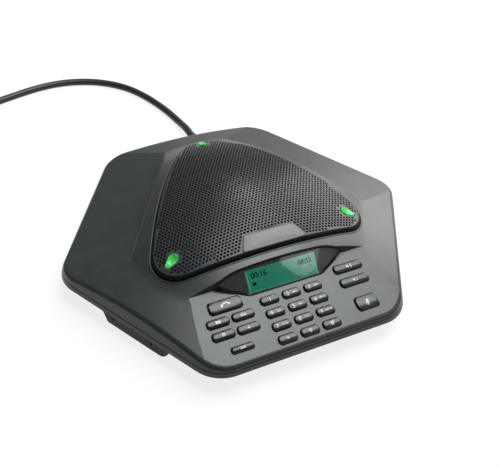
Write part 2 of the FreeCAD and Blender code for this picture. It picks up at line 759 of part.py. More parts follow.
def mic_d():
    """Distance from the centre to the inner face of a pod's outer wall."""
    return APOTHEM - POD_FRONT - POD_WALL


def foot_recess():
    width, height = FOOT_SIZE
    top = POD_UNDERSIDE + FOOT_SINK
    return slab(width + 2 * LITTLE, height + 2 * LITTLE, 4.0 + LITTLE, POD_UNDERSIDE - 1, top, 0, -foot_d())


def rubber_foot():
    width, height = FOOT_SIZE
    foot = slab(width, height, 4.0, 0, POD_UNDERSIDE + FOOT_SINK, 0, -foot_d())
    edges = [edge for edge in foot.Edges if edge.BoundBox.ZMax < 0.01]
    return foot.makeChamfer(0.4, edges)


def along(radius, x, z, y0, y1):
    """A cylinder along -Y between two distances from the centre."""
    return Part.makeCylinder(radius, y1 - y0, V(x, -y0, z), V(0, -1, 0))


def mic_cradle():
    """A rib on the pod's floor with a round seat for the microphone's boot."""
    outer_r = MIC_R + BOOT_WALL
    rib = box(MIC_AT - outer_r - 2, MIC_AT + outer_r + 2, -mic_d() + 1.5, -mic_d() + 4.5,
              POD_UNDERSIDE + POD_WALL - 0.3, PORT_Z)
    return rib.cut(along(outer_r + 0.1, MIC_AT, PORT_Z, mic_d() - 10, mic_d()))


def microphone():
    return along(MIC_R, MIC_AT, PORT_Z, mic_d() - 0.4 - MIC_LONG, mic_d() - 0.4)


def microphone_boot():
    back = mic_d() - MIC_LONG - 1.6
    boot = along(MIC_R + BOOT_WALL, MIC_AT, PORT_Z, back, mic_d() - 0.1)
    return boot.cut(along(MIC_R + 0.1, MIC_AT, PORT_Z, back + 1.1, mic_d()))


def standoff_places():
    width, height = MAIN_BOARD
    dx = width / 2 - STANDOFF_INSET
    dy = height / 2 - STANDOFF_INSET
    return [(x, MAIN_BOARD_Y + y) for x in (-dx, dx) for y in (-dy, dy)]


def bottom_cover():
    outside = base_block(BASE_UNDERSIDE, PARTING, 0)
    inside = base_block(BASE_TOP, PARTING + 5, WALL)
    pods = [to_side(pod_block(0, POD_UNDERSIDE, POD_TOP, APOTHEM - POD_FRONT - POD_DEPTH), side)
            for side in POD_SIDES]
    hollow = pod_block(POD_WALL, POD_UNDERSIDE + POD_WALL, POD_TOP + 1, APOTHEM - POD_DEPTH)
    lip_gap = WALL + 0.25
    lip = hexagon_block(cover_apothem(PARTING - 2, lip_gap), PARTING - 2,
                        cover_apothem(PARTING + 2, lip_gap), PARTING + 2, CORNER_R - lip_gap)
    inner_gap = lip_gap + 1.5
    lip = lip.cut(hexagon_block(cover_apothem(PARTING - 3, inner_gap), PARTING - 3,
                                cover_apothem(PARTING + 3, inner_gap), PARTING + 3,
                                CORNER_R - inner_gap))
    cover = fuse([outside] + pods).cut(inside)
    for side in POD_SIDES:
        cover = cover.cut(to_side(hollow, side))
    cradles = [to_side(mic_cradle(), side) for side in POD_SIDES]
    columns = [octagon(BOSS_R + 1.3, BASE_UNDERSIDE, SEAT_Z, p.x, p.y) for p in screw_places()]
    posts = [octagon(STANDOFF_R, BASE_TOP - 0.5, MAIN_BOARD_Z, x, y) for x, y in standoff_places()]
    cover = fuse([cover, lip] + cradles + columns + posts)
    for place in screw_places():
        cover = cover.cut(octagon(SCREW_HEAD_R + LITTLE, 0, SEAT_Z - 2.5, place.x, place.y))
        cover = cover.cut(octagon(SCREW_R + SCREW_FREE, 0, SEAT_Z + 1, place.x, place.y))
    for x, y in standoff_places():
        cover = cover.cut(octagon(SCREW_R + SCREW_FIT, BASE_UNDERSIDE + 1, MAIN_BOARD_Z + 1, x, y))
    for side in POD_SIDES:
        cover = cover.cut(to_side(foot_recess(), side))
        cover = cover.cut(to_side(along(PORT_R, MIC_AT, PORT_Z, mic_d() - 1, APOTHEM), side))
        if side != 90:
            cover = cover.cut(to_side(along(PORT_R, PORT_AT, PORT_Z, mic_d() - 1, APOTHEM), side))
    return cover.cut(along(RELIEF_NECK_R + LITTLE, RELIEF_X, RELIEF_Z, -APOTHEM - 5, -mic_d() + 2))


def housing_screws():
    return [sink_screw(p.x, p.y, SEAT_Z - 2.5, 12.0) for p in screw_places()]


def light_wire(grow, z):
    """A teardrop about the origin, its wide end towards the middle of the phone."""
    wide = LIGHT_WIDE / 2
    narrow = LIGHT_NARROW / 2
    span = LIGHT_LONG - wide - narrow
    lean = math.asin((wide - narrow) / span)
    wide_at = V(-LIGHT_LONG / 2 + wide, 0, z)
    narrow_at = V(LIGHT_LONG / 2 - narrow, 0, z)
    side = V(math.sin(lean), math.cos(lean), 0)
    other = V(side.x, -side.y, 0)
    w = wide + grow
    n = narrow + grow
    edges = [Part.Arc(wide_at + side * w, wide_at - V(w, 0, 0), wide_at + other * w).toShape(),
             Part.makeLine(wide_at + other * w, narrow_at + other * n),
             Part.Arc(narrow_at + other * n, narrow_at + V(n, 0, 0), narrow_at + side * n).toShape(),
             Part.makeLine(narrow_at + side * n, wide_at + side * w)]
    return Part.Wire(edges)


def light_block(grow, z0, z1):
    block = Part.Face(light_wire(grow, z0)).extrude(V(0, 0, z1 - z0))
    block.translate(V(LIGHT_AT, 0, 0))
    return block


def status_light(side):
    """A light guide from the board on the tray up through the grille."""
    guide = light_block(-LITTLE, TRAY_TOP + BOARD_THICK + 1.5, DOME_TOP)
    guide = guide.common(dome(GRILLE_TOP + LIGHT_PROUD))
    level = GRILLE_TOP - GRILLE_THICK - 0.2
    flange = light_block(LIGHT_FLANGE, TRAY_TOP, DOME_TOP).common(dome(level)).cut(dome(level - 1.2))
    return turn(guide.fuse(flange).removeSplitter(), side)


def led_board(side):
    length, width = LED_BOARD
    top = TRAY_TOP + BOARD_THICK
    board = box(LIGHT_AT - length / 2 - 1, LIGHT_AT + length / 2 - 1, -width / 2, width / 2, TRAY_TOP, top)
    lamp = box(LIGHT_AT - 1.6, LIGHT_AT + 1.6, -1.4, 1.4, top, top + 1.2)
    return turn(board.fuse(lamp), side)


def badge_block(grow, z0, z1):
    top_d, top_half = BADGE_TOP
    low_d, low_half = BADGE_LOW
    plate = plate_from(((-low_half - grow, low_d - grow), (low_half + grow, low_d - grow),
                        (top_half + grow, top_d + grow), (-top_half - grow, top_d + grow)), z0, z1)
    edges = [edge for edge in plate.Edges if abs(edge.Vertexes[0].Z - edge.Vertexes[-1].Z) > 1]
    return plate.makeFillet(1.5 + grow, edges)


def badge_plate():
    plate = badge_block(0, TRAY_TOP, GRILLE_TOP + 5).common(dome(GRILLE_TOP + BADGE_PROUD))
    return plate.cut(dome(GRILLE_TOP - BADGE_SINK + 0.1))


def grille_holes():
    """Six-sided holes in a honeycomb, clear of the rim, the lights and the plate."""
    zone = Part.Face(outline_wire(-GRILLE_GAP - HOLE_MARGIN - HOLE_SIZE))
    blocked = [badge_block(HOLE_SIZE + 1.5, -1, 1)]
    blocked += [turn(light_block(HOLE_SIZE + LIGHT_FLANGE, -1, 1), side) for side in POD_SIDES]
    holes = []
    reach = int(GRILLE_POINT / HOLE_PITCH) + 2
    for row in range(-reach, reach + 1):
        for column in range(-reach, reach + 1):
            centre = V((column + (row % 2) / 2) * HOLE_PITCH, row * HOLE_PITCH * math.sqrt(0.75), 0)
            free = all(not block.isInside(centre, 0.001, True) for block in blocked)
            if free and zone.isInside(centre, 0.001, True):
                corners = [centre + polar(HOLE_SIZE, 30 + 60 * k, TRAY_TOP) for k in range(6)]
                face = Part.Face(Part.makePolygon(corners + corners[:1]))
                holes.append(face.extrude(V(0, 0, DOME_TOP)))
    print("grille holes", len(holes))
    return Part.makeCompound(holes)


def speaker_grille():
    outer = outline_block(-GRILLE_GAP, TRAY_TOP - 5, GRILLE_TOP + 5).common(dome(GRILLE_TOP))
    edges = [edge for edge in outer.Edges if edge.BoundBox.ZMin > TRAY_TOP - 4]
    outer = outer.makeFillet(GRILLE_FILLET, [e for e in edges if e.Length > 10 and not is_upright(e)])
    inner = outline_block(-GRILLE_GAP - GRILLE_RIM, TRAY_TOP - 6, GRILLE_TOP + 5)
    grille = outer.cut(inner.common(dome(GRILLE_TOP - GRILLE_THICK)))
    grille = grille.cut(dome(DOME_TOP - LEDGE_DROP + GASKET_THICK + 0.1))
    grille = grille.cut(badge_block(LITTLE, 30, 80).cut(dome(GRILLE_TOP - BADGE_SINK)))
    for side in POD_SIDES:
        grille = grille.cut(turn(light_block(0, TRAY_TOP, GRILLE_TOP), side))
    return grille.cut(grille_holes())


def is_upright(edge):
    start = edge.Vertexes[0]
    end = edge.Vertexes[-1]
    return math.hypot(start.X - end.X, start.Y - end.Y) < 0.01


def grille_gasket():
    level = DOME_TOP - LEDGE_DROP
    ring = outline_block(-GRILLE_GAP, TRAY_LOW, DOME_TOP)
    ring = ring.cut(outline_block(-GRILLE_GAP - GASKET_WIDTH, 0, DOME_TOP + 5))
    return ring.common(dome(level + GASKET_THICK)).cut(dome(level + 0.05))


FLANGE_TOP = TRAY_TOP + FLANGE_THICK
BASKET_LOW = TRAY_TOP - BASKET_DEPTH
PLATE_LOW = BASKET_LOW - PLATE_THICK
MAGNET_LOW = PLATE_LOW - MAGNET_THICK
COIL_IN = POLE_R + LITTLE
COIL_OUT = COIL_IN + COIL_WALL
GAP_R = COIL_OUT + LITTLE
CONE_EDGE = CONE_OPENING_R - 5.5
NECK_Z = BASKET_LOW + 6.5
SPIDER_R = 27.0
SPIDER_Z = BASKET_LOW + 3.6


def speaker_basket():
    outer = CONE_OPENING_R + FLANGE_WIDTH
    neck = CONE_OPENING_R - 0.6
    foot = MAGNET_R + 2.0
    form = turned(((GAP_R + 2, BASKET_LOW), (foot, BASKET_LOW), (neck, TRAY_TOP), (outer, TRAY_TOP),
                   (outer, FLANGE_TOP), (neck - BASKET_WALL - 0.4, FLANGE_TOP),
                   (foot - BASKET_WALL, BASKET_LOW + BASKET_WALL), (GAP_R + 2, BASKET_LOW + BASKET_WALL)))
    for place in speaker_screw_places():
        form = form.cut(octagon(SCREW_R + SCREW_FREE, TRAY_TOP - 1, FLANGE_TOP + 1, place.x, place.y))
    floor = BASKET_LOW + BASKET_WALL
    step = washer(foot - BASKET_WALL + 1.2, SPIDER_R - 2.5, floor - 0.1, SPIDER_Z)
    return form.fuse(step.common(cylinder(foot - 0.4, 0, 60))).removeSplitter()


def speaker_screws():
    return [sink_screw(p.x, p.y, FLANGE_TOP, 8.0, False) for p in speaker_screw_places()]


def speaker_cone():
    thick = 0.8
    top = FLANGE_TOP - 0.3
    return turned(((COIL_OUT + 0.05, NECK_Z), (COIL_OUT + 1.2, NECK_Z), (CONE_EDGE - 2.0, top - thick),
                   (CONE_EDGE, top - thick), (CONE_EDGE, top), (CONE_EDGE - 2.4, top),
                   (COIL_OUT + 0.05, NECK_Z + 1.6)))


def voice_coil():
    return washer(COIL_OUT, COIL_IN, PLATE_LOW + CONE_STROKE - 0.4, NECK_Z + 2.4)


def dust_cap():
    """A shallow dome over the voice coil, in three rings."""
    radius = COIL_OUT + 4.5
    low = NECK_Z + 3.5
    wall = 0.6
    angles = [math.radians(a) for a in (90, 60, 30, 0)]
    over = [(radius * math.sin(a), low + 5.0 * math.cos(a) ** 1.5) for a in angles]
    under = [(max(r - wall, 0), max(z - wall, low)) for r, z in over]
    return turned(over + under[::-1])


def speaker_surround():
    """The rubber edge: a half-round roll between the cone and the basket, in bands."""
    low = FLANGE_TOP
    thick = 0.5
    inner = CONE_EDGE - 1.6
    roll_in = CONE_EDGE + 0.4
    roll_out = CONE_OPENING_R - 2.2
    outer = CONE_OPENING_R + 0.2
    middle = (roll_in + roll_out) / 2
    rise = (roll_out - roll_in) / 2
    steps = (180, 144, 108, 72, 36, 0)
    over = [(middle + rise * math.cos(math.radians(a)), low + thick + rise * math.sin(math.radians(a)))
            for a in steps]
    under_r = rise - thick
    under = [(middle + under_r * math.cos(math.radians(a)), low + under_r * math.sin(math.radians(a)))
             for a in steps[::-1]]
    profile = [(inner, low + thick)] + over + [(outer, low + thick), (outer, low)] + under
    return turned(profile + [(inner, low)])


def speaker_spider():
    """The woven centring disc, with two waves, on the basket's step."""
    low = SPIDER_Z
    inner = COIL_OUT + 0.1
    span = (SPIDER_R - inner) / 5
    up = [(inner, 0.6), (inner + span, 0.6), (inner + 1.5 * span, 1.5), (inner + 2.5 * span, 0.3),
          (inner + 3.5 * span, 1.5), (SPIDER_R - 2.0, 0.5), (SPIDER_R, 0.5)]
    points = [(r, low + z) for r, z in up] + [(r, low + z - 0.45) for r, z in up[::-1]]
    return turned(points)


def front_plate():
    return washer(MAGNET_R - 1.5, GAP_R, PLATE_LOW, BASKET_LOW)


def magnet():
    return washer(MAGNET_R, POLE_R + 3.4, MAGNET_LOW, PLATE_LOW)


def yoke():
    low = MAGNET_LOW - YOKE_THICK
    return turned(((0, low), (MAGNET_R - 1.5, low), (MAGNET_R - 1.5, MAGNET_LOW), (POLE_R, MAGNET_LOW),
                   (POLE_R, BASKET_LOW), (0, BASKET_LOW)))


def main_board():
    width, height = MAIN_BOARD
    board = slab(width, height, 3.0, MAIN_BOARD_Z, MAIN_BOARD_Z + BOARD_THICK, 0, MAIN_BOARD_Y)
    for x, y in standoff_places():
        board = board.cut(octagon(SCREW_R + SCREW_FREE, MAIN_BOARD_Z - 1, MAIN_BOARD_Z + 3, x, y))
    return board


def main_board_screws():
    return [sink_screw(x, y, MAIN_BOARD_Z + BOARD_THICK, 5.5, False) for x, y in standoff_places()]


def board_components():
    """Chips, capacitors and sockets that stand on the main board."""
    top = MAIN_BOARD_Z + BOARD_THICK
    chips = [(-48, -36, 24, 24, 1.6), (44, -34, 14, 20, 1.8), (-52, 2, 12, 18, 1.8), (-46, 40, 10, 10, 1.5),
             (0, -48, 30, 6, 6.0), (18, 60, 16, 8, 7.0), (-24, 58, 12, 6, 6.0)]
    parts = [box(x - w / 2, x + w / 2, y - h / 2, y + h / 2, top, top + t) for x, y, w, h, t in chips]
    cans = ((56, -8, 5, 12), (56, 8, 5, 12), (-56, 58, 4, 9))
    parts += [octagon(r, top, top + h, x, y) for x, y, r, h in cans]
    return parts


def line_transformer():
    top = MAIN_BOARD_Z + BOARD_THICK
    core = slab(22, 18, 1.0, top, top + 14, 48, 46)
    return core.fuse(slab(26, 12, 1.0, top, top + 8, 48, 46)).removeSplitter()


def strain_relief():
    """A tapered rubber sleeve with grooves, held in the pod's wall by its collar."""
    wall_in = mic_d()
    root = APOTHEM - EDGE_STEP + 0.3
    end = APOTHEM + RELIEF_OUT
    tip_r = CABLE_D / 2 + 0.7
    profile = [(0, wall_in - 2.2), (RELIEF_COLLAR_R, wall_in - 2.2), (RELIEF_COLLAR_R, wall_in - 0.2),
               (RELIEF_NECK_R, wall_in - 0.2), (RELIEF_NECK_R, root), (RELIEF_ROOT_R, root),
               (RELIEF_ROOT_R, root + 2.4)]
    grooves = 3
    step = (end - root - 5.0) / grooves
    for i in range(grooves):
        at = root + 3.0 + i * step
        radius = RELIEF_ROOT_R + (tip_r - RELIEF_ROOT_R) * (at - root) / (end - root)
        profile += [(radius - 0.9, at + 0.4), (radius - 0.9, at + 1.8), (radius, at + 2.2)]
    profile += [(tip_r, end), (0, end)]
    sleeve = turned(profile)
    sleeve.rotate(V(), V(1, 0, 0), -90)
    sleeve.translate(V(RELIEF_X, 0, RELIEF_Z))
    return sleeve


def cable_points():
    return [V(RELIEF_X, APOTHEM + RELIEF_OUT, RELIEF_Z)] + [V(*point) for point in CABLE_ROUTE]


def tube(path):
    """A cable along a wire, as one pipe from its section at the start."""
    first = path.OrderedEdges[0]
    start = first.valueAt(first.FirstParameter)
    way = first.tangentAt(first.FirstParameter)
    if (path.OrderedVertexes[0].Point - start).Length > 0.01:
        start = first.valueAt(first.LastParameter)
        way = first.tangentAt(first.LastParameter) * -1
    side = way.cross(UP).normalize() * (CABLE_D / 2)
    corners = []
    for k in range(CABLE_FACES):
        turned_side = FreeCAD.Rotation(way, 360 * (k + 0.5) / CABLE_FACES + 90).multVec(side)
        corners.append(start + turned_side)
    return path.makePipeShell([Part.makePolygon(corners + corners[:1])], True, False)


def cable_section():
    """Area of the faceted section."""
    return CABLE_FACES / 2 * (CABLE_D / 2) ** 2 * math.sin(2 * math.pi / CABLE_FACES)


def cable():
    """Straight runs joined by arcs as large as the runs allow."""
    points = cable_points()
    edges = []
    here = points[0]
    for i in range(1, len(points) - 1):
        before = (points[i - 1] - points[i])
        after = (points[i + 1] - points[i])
        half_turn = (math.pi - before.getAngle(after)) / 2
        cut = 0.45 * min(before.Length, after.Length)
        radius = cut / math.tan(half_turn)
        a = points[i] + before.normalize() * cut
        b = points[i] + after.normalize() * cut
        to_centre = (before + after).normalize()
        middle = points[i] + to_centre * (radius / math.cos(half_turn) - radius)
        edges += [Part.makeLine(here, a), Part.Arc(a, middle, b).toShape()]
        print("cable bend", i, "radius", round(radius, 1), "turn", round(math.degrees(2 * half_turn), 1))
        here = b
    edges.append(Part.makeLine(here, points[-1]))
    path = Part.Wire(edges)
    solid = tube(path)
    share = solid.Volume / (cable_section() * path.Length)
    print("cable length", round(path.Length, 1), "volume against section times length", round(share, 4))
    return solid


def coil_start():
    """Where the coil begins, its heading there, and the middle of its turns."""
    points = cable_points()
    heading = points[-1] - points[-2]
    heading.z = 0
    heading.normalize()
    left = V(-heading.y, heading.x, 0)
    start = points[-1] + heading * CABLE_D
    return start, heading, start + left * COIL_R


def coil_spiral():
    """Points and headings of the turns: in on the lower layer, out again on the upper one."""
    start, heading, centre = coil_start()
    first = math.atan2((start - centre).y, (start - centre).x)
    quarters = COIL_TURNS * 4
    stations = []
    for i in range(2 * quarters + 1):
        inward = min(i, 2 * quarters - i)
        radius = COIL_R - COIL_PITCH * inward / 4
        angle = first + math.pi / 2 * i
        climb = min(max((i - (quarters - 1)) / 2, 0), 1)
        height = start.z + COIL_PITCH * climb
        rate = -COIL_PITCH / (2 * math.pi) if i < quarters else COIL_PITCH / (2 * math.pi)
        if i == quarters:
            rate = 0
        if i in (0, 2 * quarters):
            rate = 0
        rise = COIL_PITCH / math.pi if i == quarters else 0
        out = V(math.cos(angle), math.sin(angle), 0)
        way = V(-math.sin(angle), math.cos(angle), 0) * radius + out * rate + V(0, 0, rise)
        place = V(centre.x, centre.y, height) + out * radius
        stations.append((place, way.normalize()))
    return stations


def biarc(p0, t0, p1, t1):
    """Two arcs that leave p0 along t0 and reach p1 along t1."""
    span = p1 - p0
    both = t0 + t1
    a = 4 - both.dot(both)
    b = 2 * span.dot(both)
    c = -span.dot(span)
    reach = (-b + math.sqrt(b * b - 4 * a * c)) / (2 * a) if a > 1e-9 else -c / b
    q0 = p0 + t0 * reach
    q1 = p1 - t1 * reach
    join = (q0 + q1) * 0.5
    arcs = []
    for start, corner, end in ((p0, q0, join), (join, q1, p1)):
        chord = (start + end) * 0.5
        share = (chord - start).Length / (corner - start).Length
        middle = chord + (corner - chord) * (share / (1 + share))
        arcs.append(Part.Arc(start, middle, end).toShape())
    return arcs


def coil_path():
    start, heading, centre = coil_start()
    stations = coil_spiral()
    edges = [Part.makeLine(start - heading * CABLE_D, start)]
    for (p0, t0), (p1, t1) in zip(stations, stations[1:]):
        edges += biarc(p0, t0, p1, t1)
    out, way = stations[-1]
    leave = out + way * COIL_CLEAR
    edges.append(Part.makeLine(out, leave))
    landing = leave + way * COIL_TAIL
    landing.z = CABLE_D / 2 + 0.25
    edges += biarc(leave, way, landing, way)
    edges.append(Part.makeLine(landing, landing + way * CABLE_D))
    return Part.Wire(edges)


def least_gap(path):
    """Distance between the surfaces of turns that are not neighbours along the cable."""
    step = 2.0
    points = path.discretize(Distance=step)
    skip = int(CABLE_D * 3 / step)
    return min((points[i] - points[j]).Length
               for i in range(len(points)) for j in range(i + skip, len(points))) - CABLE_D


def cable_coil():
    path = coil_path()
    solid = tube(path)
    share = solid.Volume / (cable_section() * path.Length)
    print("coil length", round(path.Length, 1), "volume against section times length", round(share, 4),
          "least gap to itself", round(least_gap(path), 2))
    return solid


def coil_tie():
    """A strap round all the turns, opposite the cable's two ends."""
    start, heading, centre = coil_start()
    inner_r = COIL_R - COIL_PITCH * (COIL_TURNS - 0.5) - CABLE_D / 2
    inner = math.sqrt(inner_r ** 2 - TIE_WIDE ** 2 / 4) - TIE_GAP
    outer = COIL_R - COIL_PITCH / 2 + CABLE_D / 2 + TIE_GAP
    low = start.z - CABLE_D / 2 - 0.15
    high = start.z + COIL_PITCH + CABLE_D / 2 + TIE_GAP
    strap = box(inner - TIE_THICK, outer + TIE_THICK, -TIE_WIDE / 2, TIE_WIDE / 2,
                low - TIE_THICK, high + TIE_THICK)
    strap = strap.cut(box(inner, outer, -TIE_WIDE, TIE_WIDE, low, high))
    strap = turn(strap, math.degrees(math.atan2((centre - start).y, (centre - start).x)))
    strap.translate(V(centre.x, centre.y, 0))
    return strap


def cable_plug():
    """A modular plug with its latch, at the end of the coil's tail."""
    path = coil_path()
    end = path.OrderedVertexes[-1].Point
    way = (end - path.OrderedVertexes[-2].Point).normalize()
    width, height, length = PLUG_SIZE
    body = box(0, length, -width / 2, width / 2, -height / 2, height / 2)
    sleeve = Part.makeCylinder(CABLE_D / 2 + 0.2, 8.0, V(-8.0, 0, 0), V(1, 0, 0))
    latch = box(length - 3, length, -3.2, 3.2, height / 2 - 0.1, height / 2 + 1.6)
    latch = latch.fuse(box(length - 15, length, -3.2, 3.2, height / 2 + 1.0, height / 2 + 2.0))
    plug = fuse([body, sleeve, latch])
    plug.rotate(V(), UP, math.degrees(math.atan2(way.y, way.x)))
    plug.translate(end + way * 8.0)
    return plug


def build():
    """Every piece of the phone by name."""
    pieces = {name + "_key": key(x, u, width, height) for name, x, u, width, height in all_keys()}
    pieces.update({
        "top_cover": top_cover(),
        "bottom_cover": bottom_cover(),
        "housing_screws": housing_screws(),
        "rubber_feet": [to_side(rubber_foot(), side) for side in POD_SIDES],
        "speaker_grille": speaker_grille(),
        "grille_gasket": grille_gasket(),
        "badge_plate": badge_plate(),
        "speaker_basket": speaker_basket(),
        "speaker_magnet": magnet(),
        "speaker_front_plate": front_plate(),
        "speaker_yoke": yoke(),
        "speaker_cone": speaker_cone(),
        "voice_coil": voice_coil(),
        "dust_cap": dust_cap(),
        "speaker_surround": speaker_surround(),
        "speaker_spider": speaker_spider(),
        "speaker_screws": speaker_screws(),
        "display_lens": eye_layer(-LITTLE, 0, LENS_THICK),
        "display_frame": display_frame(),
        "display_glass": glass_block(0, GLASS_DOWN, GLASS_UP),
        "display_backlight": glass_block(1.0, BACKLIGHT_DOWN, BACKLIGHT_UP),
        "display_cable": display_cable(),
        "keypad_mat": keypad_mat(),
        "keypad_board": keypad_board(),
        "keypad_screws": keypad_screws(),
        "main_board": main_board(),
        "main_board_screws": main_board_screws(),
        "board_components": board_components(),
        "line_transformer": line_transformer(),
        "status_lights": [status_light(side) for side in POD_SIDES],
        "status_led_boards": [led_board(side) for side in POD_SIDES],
        "microphones": [to_side(microphone(), side) for side in POD_SIDES],
        "microphone_boots": [to_side(microphone_boot(), side) for side in POD_SIDES],
        "cable_strain_relief": strain_relief(),
        "cable": cable(),
        "cable_coil": cable_coil(),
        "coil_tie": coil_tie(),
        "cable_plug": cable_plug(),
    })
    return pieces


def main():
    os.makedirs("parts", exist_ok=True)
    for name, shape in build().items():
        if isinstance(shape, list):
            shape = Part.makeCompound(shape)
        print(name, "solids", len(shape.Solids), "valid", shape.isValid(), "volume", round(shape.Volume, 1))
        shape.exportStep(os.path.join("parts", name + ".step"))


main()
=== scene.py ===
"""Conference phone: a satin housing, a perforated grille, lit status lights, a keypad with
printed keys under a curved display, and a cable whose spare length lies in a coil.

Sizes are in metres in Blender. The phone's own sizes below are written in millimetres.
"""
import math

import bmesh
import bpy
from bpy.props import FloatProperty, FloatVectorProperty, PointerProperty
from mathutils import Matrix, Vector
from mathutils.bvhtree import BVHTree
from mathutils.geometry import delaunay_2d_cdt


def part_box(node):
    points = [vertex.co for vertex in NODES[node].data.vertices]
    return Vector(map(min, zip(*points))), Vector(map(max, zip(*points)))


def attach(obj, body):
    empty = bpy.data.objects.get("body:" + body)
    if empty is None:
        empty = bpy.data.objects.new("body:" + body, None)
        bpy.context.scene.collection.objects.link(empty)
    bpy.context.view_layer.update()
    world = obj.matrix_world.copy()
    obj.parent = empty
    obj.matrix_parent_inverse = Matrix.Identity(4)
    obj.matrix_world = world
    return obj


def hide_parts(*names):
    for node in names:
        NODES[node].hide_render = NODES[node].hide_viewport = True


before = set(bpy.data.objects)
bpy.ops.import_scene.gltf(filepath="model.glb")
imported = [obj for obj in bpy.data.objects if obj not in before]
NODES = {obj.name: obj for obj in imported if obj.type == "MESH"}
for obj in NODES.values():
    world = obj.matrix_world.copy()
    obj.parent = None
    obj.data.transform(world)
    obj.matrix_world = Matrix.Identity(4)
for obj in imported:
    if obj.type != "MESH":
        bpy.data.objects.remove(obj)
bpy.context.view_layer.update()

bl_info = {
    "name": "Conference phone builder",
    "version": (1, 0, 0),
    "blender": (4, 5, 0),
    "location": "3D View > Sidebar > Conference Phone",
    "description": "Dresses a conference phone piece by piece",
    "category": "Object",
}

MM = 0.001
GREY = (0.1, 0.1, 0.1, 1.0)
WHITE = (1.0, 1.0, 1.0, 1.0)
MERGE = 1e-5             # points of a drawing nearer than this are one
CUT_NEAR = 1e-4          # and points this near a cut lie on it

# The housing: half its width across two flat sides, its corners, its wall and its roof
APOTHEM = 136.5
CORNER_R = 30.0
PARTING = 14.4
DRAFT = 0.28             # lean of the wall, per mm of height
DOME_R = 229.3           # the ball that the roof and the grille follow

# Painted shadow round the wall, a dark strip for the shade of a gap between the covers: its lower
# and upper edge, how proud it is, and how deep
SHADOW_LINE_LOW = 17.9
SHADOW_LINE_TOP = 18.7
SHADOW_LINE_PROUD = 0.08
SHADOW_LINE_DEEP = 1.0

# Outline of the grille: three points and three bowed sides
POD_SIDES = (90, 210, 330)
GRILLE_TOP = 65.5
GRILLE_POINT = 101.0
GRILLE_SIDE = 66.0
GRILLE_CORNER = 23.0
GRILLE_GAP = 0.8
GRILLE_FILLET = 1.5
GRILLE_RIM = 2.2
GRILLE_SKIRT = 4.4
RIM_WALL = 0.1           # the sheet's underside drops to its skirt within this width
RIM_STEP = 2.0           # between two points of its outline
SHADE_REACH = 0.01       # what lies deeper than this under the grille's dome is painted dark, as painted shade

# Its round holes
HOLE_SIDES = 8
HOLE_CORE = 0.93         # a face is open if its middle lies within this share of a hole's radius
HOLE_MARGIN = 0.55       # left whole round the lights and the plate
RIM_MARGIN = 0.25        # between the holes and the rounding of the rim
ZONE_STEP = 3.0          # between two points of the line round them all
ROW_SHARE = math.sqrt(0.75)

# The housing's rounded lip round the grille, and a dark ring in the gap, below the housing, that
# paints the shade there
LIP_R = 0.7
LIP_SINK = 0.15
GAP_CLEAR = 0.04
GAP_DEEP = 0.9
GAP_SHADOW_HIGH = 0.8

# The black foam under the grille's sheet, which also paints the shade inside the holes: the gap
# above it and inside the skirt
BACKING_GAP = 0.03
BACKING_IN = 0.25
BACKING_THICK = 0.3
BACKING_STEP = 8.0
BACKING_EDGE_STEP = 4.0

# Status lights and the blank plate in the grille
LIGHT_AT = 88.5
LIGHT_LONG = 13.0
LIGHT_WIDE = 9.0
LIGHT_NARROW = 5.0
LIGHT_PROUD = 0.8
LIGHT_DEEP = 3.0
LIGHT_ROUND = 0.7
LIGHT_GAP = 0.3          # between the guide and its drawn outline
LIGHT_CLEAR = 0.15       # between that outline and the grille's opening
LIGHT_FLANGE = 1.4       # how far its flange stands out, and how deep its top lies
LIGHT_FLANGE_DEEP = 1.8
LIGHT_STEPS = 14
LIGHT_CORE = 3.0         # its brightest place, out from its middle
LIGHT_REACH = 10.0
BADGE_TOP = (-50.5, 21.0)
BADGE_LOW = (-63.5, 27.0)
BADGE_CORNER = 1.5
BADGE_EDGE = 0.5
BADGE_PROUD = 0.6
BADGE_SINK = 0.5
BADGE_CLEAR = 0.25

# The keypad's plane, and the keys on it: middle across, middle up the slope, width, height
PANEL_D = 90.0
PANEL_Z = 32.93
PANEL_SLOPE = math.radians(14.286)
KEY_PROUD = 2.0
KEY_CORNER = 0.42        # corner radius as a share of a key's height
KEY_CORNER_MOST = 4.2
KEY_EDGE = 1.3           # radius of a key's upper edge
KEY_SAG = 0.9            # its top is bowed down by this at the upper and lower edge
KEY_TOP_WIDTH = 0.3      # the least ring of its top is this share as wide
KEY_FLANGE = 0.8
FLANGE_CORNER = 0.6
FLANGE_UP = -2.6
FLANGE_LOW = -3.6
POST_LOW = -4.2
POST_HALF = 1.9
POST_CORNER = 0.4
CAP_LAP = 0.05           # how far the cap and the post run into the flange
POST_LAP = 0.1
DIGIT_SIZE = (15.0, 7.2)
SIDE_SIZE = (17.6, 7.2)
KEY_PITCH_X = 18.3
KEY_PITCH_U = 11.02
KEY_TOP_ROW = -5.05
DIGITS = (("digit_1", "1", ""), ("digit_2", "2", "ABC"), ("digit_3", "3", "DEF"),
          ("digit_4", "4", "GHI"), ("digit_5", "5", "JKL"), ("digit_6", "6", "MNO"),
          ("digit_7", "7", "PQRS"), ("digit_8", "8", "TUV"), ("digit_9", "9", "WXYZ"),
          ("star", "*", ""), ("digit_0", "0", ""), ("hash", "#", ""))
OTHER_KEYS = (("call", -51.7, 1.35, 26.5, 10.4),
              ("directory", -61.9, -10.35) + SIDE_SIZE,
              ("conference", -42.1, -10.35) + SIDE_SIZE,
              ("flash", -42.2, -21.15) + SIDE_SIZE,
              ("program", -61.6, -20.65) + SIDE_SIZE,
              ("menu", -52.2, -34.05, 17.6, 5.4),
              ("volume_up", 52.9, 1.85, 25.0, 7.8),
              ("volume_down", 52.5, -10.75, 25.0, 7.8),
              ("mute", 52.6, -30.75, 18.6, 11.8))

